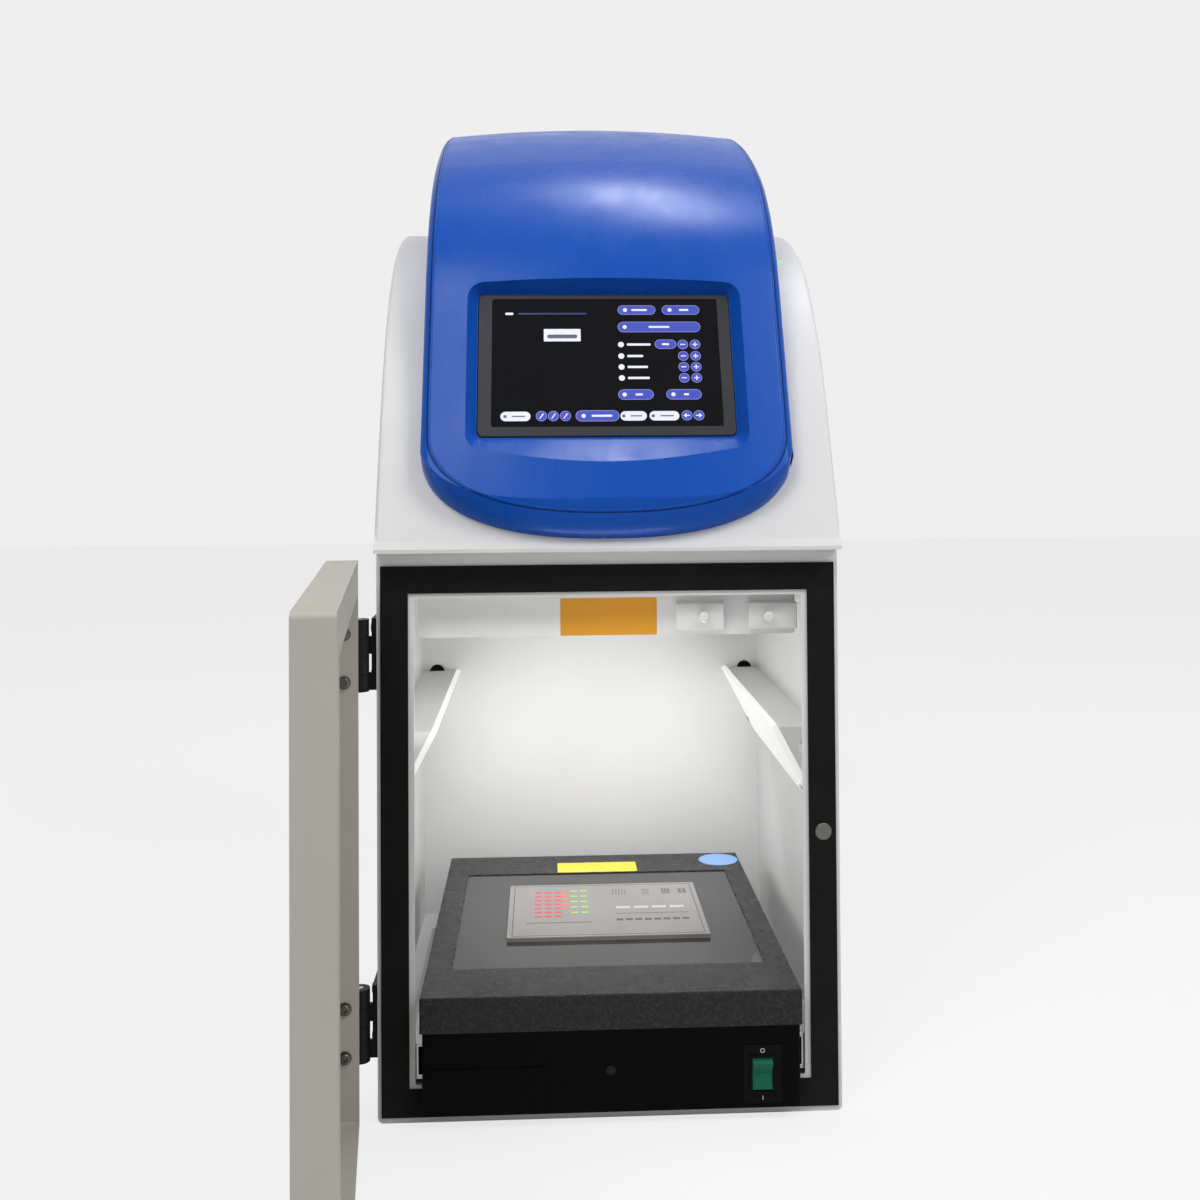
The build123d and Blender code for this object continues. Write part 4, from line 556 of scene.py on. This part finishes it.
layers = {
    "screen_rims": (PILL_RIM, 0.9, [pill(*b, grow=0.7) for b in blue_pills + round_buttons], 0.00002),
    "screen_pills": (PILL, 0.9, [pill(*b) for b in blue_pills + round_buttons], 0.00004),
    "screen_white_pills": (GLYPH, 0.95, [pill(*b) for b in white_pills], 0.00004),
}
glyphs = []
for y in rows:
    glyphs.append(moved(rounded(3.6, 0.8, 0.2, 1), MINUS_X, y))
    glyphs.append(moved(rounded(3.6, 0.8, 0.2, 1), PLUS_X, y))
    glyphs.append(moved(rounded(0.8, 1.3, 0.2, 1), PLUS_X, y + 1.1))
    glyphs.append(moved(rounded(0.8, 1.3, 0.2, 1), PLUS_X, y - 1.1))
for y, length in zip(rows, (16.5, 11, 14, 15)):
    glyphs.append(moved(disc(2.1, 18), 11.0, y))
    glyphs.append(moved(rounded(length, 1.7, 0.4, 2), 15.2 + length / 2, y))
BUTTON_BARS = (
    (24.5, 42.1, 11), (56, 42.1, 6.5), (38.1, 28.7, 14.5), (42.1, 15.2, 5), (22.5, -23.2, 5),
    (55, -23.2, 3.4), (-3.4, -39, 14),
)
BUTTON_DOTS = ((14.6, 42.1), (46, 42.1), (14, 28.7), (12.5, -23.2), (46, -23.2), (-15.8, -39))
for x, y, length in BUTTON_BARS:
    glyphs.append(moved(rounded(length, 1.5, 0.4, 2), x, y))
for x, y in BUTTON_DOTS:
    glyphs.append(moved(disc(1.5, 16), x, y))
for x, side in zip(ARROWS_X, (-1, 1)):
    glyphs.append([(x + side * 2.2, -39.0), (x + side * 0.2, -37.2), (x + side * 0.2, -40.8)][::side])
    glyphs.append(moved(rounded(2.2, 0.8, 0.2, 1), x - side * 1.0, -39.0))
for x in SLASHES_X:
    glyphs.append([(x - 1.6, -40.9), (x - 0.9, -41.0), (x + 1.7, -37.4), (x + 1.0, -37.0)])
glyphs.append(moved(rounded(5.5, 1.8, 0.5, 2), -66.5, 39.2))
glyphs.append(moved(rounded(25.6, 9.6, 0.3, 1), -29.7, 22.4))
layers["screen_glyphs"] = (GLYPH, 1.0, glyphs, 0.00006)
marks = [moved(rounded(21, 3.0, 1.4, 3), -29.7, 21.4)]
marks += [moved(rounded(length, 0.9, 0.3, 1), x, -39.2) for x, length in ((-60, 9), (20, 8), (41, 9))]
marks += [moved(disc(1.2, 14), x, -39.2) for x in (-69, 11.5, 31.5)]
layers["screen_dark_marks"] = ((0.18, 0.18, 0.24), 0.5, marks, 0.00008)
faint_line = moved(rounded(48, 1.2, 0.5, 2), -36.3, 39.3)
layers["screen_faint_line"] = ((0.02, 0.035, 0.16), 0.8, [faint_line], 0.00003)
for layer_name, (tone, strength, outlines, thick) in layers.items():
    material = lit_print(layer_name, tone, strength)
    plates(layer_name, outlines, SCREEN_FACE, "cabinet", material, thick)


# Stage and light
def lamp(name, place, target, size, power):
    """A soft rectangular lamp that looks at a point and isn't seen itself."""
    data = bpy.data.lights.new(name, "AREA")
    data.shape = "RECTANGLE"
    data.size, data.size_y = size
    data.energy = power
    light = bpy.data.objects.new(name, data)
    light.visible_camera = False
    light.location = place
    light.rotation_euler = (Vector(target) - Vector(place)).to_track_quat("-Z", "Y").to_euler()
    bpy.context.scene.collection.objects.link(light)
    return light


def seen_ray(tree):
    """1 where the camera looks, straight, through glass or by a reflection, and 0 for other light."""
    path = tree.nodes.new("ShaderNodeLightPath")
    total = path.outputs["Is Camera Ray"]
    for ray in ("Is Glossy Ray", "Is Transmission Ray"):
        largest = tree.nodes.new("ShaderNodeMath")
        largest.operation = "MAXIMUM"
        tree.links.new(total, largest.inputs[0])
        tree.links.new(path.outputs[ray], largest.inputs[1])
        total = largest.outputs[0]
    return total


FLOOR_GLOW = 0.75  # the light that the floor seems to give, as the camera sees it
FLOOR_SHADE = 0.22  # its colour there, which takes the shadow
BACKDROP = 0.86  # the world's strength where it is seen
AMBIENT = 0.32  # and for all other light
FLOOR_HALF = 6


def pale_floor():
    """A wide floor whose colour stays pale in the camera's view and keeps the shadow."""
    mesh = bpy.data.meshes.new("floor")
    bm = bmesh.new()
    bmesh.ops.create_grid(bm, x_segments=1, y_segments=1, size=FLOOR_HALF)
    bm.to_mesh(mesh)
    bm.free()
    floor = bpy.data.objects.new("floor", mesh)
    bpy.context.scene.collection.objects.link(floor)
    s = Shader("floor")
    seen = seen_ray(s.tree)
    s.link(s.ramp(seen, 0, 1, 0, FLOOR_GLOW), s.shader.inputs["Emission Strength"])
    s.set(Roughness=0.8, Emission_Color=(1, 1, 1, 1), Specular_IOR_Level=0)
    s.tint(seen, (0.7, 0.7, 0.7), (FLOOR_SHADE,) * 3)
    mesh.materials.append(s.material)


pale_floor()
world = bpy.data.worlds.new("studio")
bpy.context.scene.world = world
world.use_nodes = True
tree = world.node_tree
background = tree.nodes["Background"]
level = tree.nodes.new("ShaderNodeMapRange")
level.inputs["To Min"].default_value = AMBIENT
level.inputs["To Max"].default_value = BACKDROP
tree.links.new(seen_ray(tree), level.inputs["Value"])
tree.links.new(level.outputs["Result"], background.inputs["Strength"])
background.inputs["Color"].default_value = (1, 1, 1, 1)

lamp("key_left", (-0.7, -1.4, 2.0), (0, 0, 0.45), (0.8, 0.8), 17)
lamp("key_right", (1.25, -1.2, 2.0), (0, 0, 0.45), (0.8, 0.8), 19)
lamp("front", (0.1, -2.4, 0.6), (0, 0, 0.4), (1.2, 0.9), 1.5)
lamp("top", (0.1, 0.1, 2.3), (0, 0, 0.5), (1.0, 1.0), 4)
shine = lamp("shine", (0.25, 0.02, 2.3), (0.05, -0.1, 0.6), (0.75, 0.3), 19)
shine.visible_diffuse = False
lamp("cabin", at(0, 140, 345), at(0, 170, 80), (0.2, 0.2), 0.2)
lamp("header", at(-45, -4, 245), at(-40, 22, 335), (0.24, 0.02), 0.13)
for side, place in ((-1, "left"), (1, "right")):
    lamp(f"cabin_{place}", at(side * 100, 200, 200), at(-side * 60, 285, 100), (0.1, 0.1), 0.16)


# Camera
PHOTO_SIZE = 1200
FOCAL_PIXELS = 1364.35
OPTICAL_CENTRE = (608.98, 429.66)
CAMERA_PLACE = (-43.2, -917.77, 439.87)
CAMERA_TURNS = (2.756, 1.154, -0.368)  # yaw, pitch and roll in degrees
SENSOR = 36


def photo_camera():
    """The photograph's camera, found by fitting known sizes to it."""
    yaw, pitch, roll = (math.radians(turn) for turn in CAMERA_TURNS)
    level = math.cos(pitch)
    forward = Vector((math.sin(yaw) * level, math.cos(yaw) * level, math.sin(pitch)))
    level_right = Vector((math.cos(yaw), -math.sin(yaw), 0))
    level_up = level_right.cross(forward)
    right = math.cos(roll) * level_right + math.sin(roll) * level_up
    up = -math.sin(roll) * level_right + math.cos(roll) * level_up
    data = bpy.data.cameras.new("camera")
    data.sensor_fit = "HORIZONTAL"
    data.sensor_width = SENSOR
    data.lens = FOCAL_PIXELS * SENSOR / PHOTO_SIZE
    data.shift_x = (PHOTO_SIZE / 2 - OPTICAL_CENTRE[0]) / PHOTO_SIZE
    data.shift_y = (OPTICAL_CENTRE[1] - PHOTO_SIZE / 2) / PHOTO_SIZE
    camera = bpy.data.objects.new("camera", data)
    turn = Matrix((right, up, -forward)).transposed().to_4x4()
    camera.matrix_world = Matrix.Translation(at(*CAMERA_PLACE)) @ turn
    bpy.context.scene.collection.objects.link(camera)
    bpy.context.scene.camera = camera


photo_camera()
bpy.context.scene.view_settings.view_transform = "Standard"
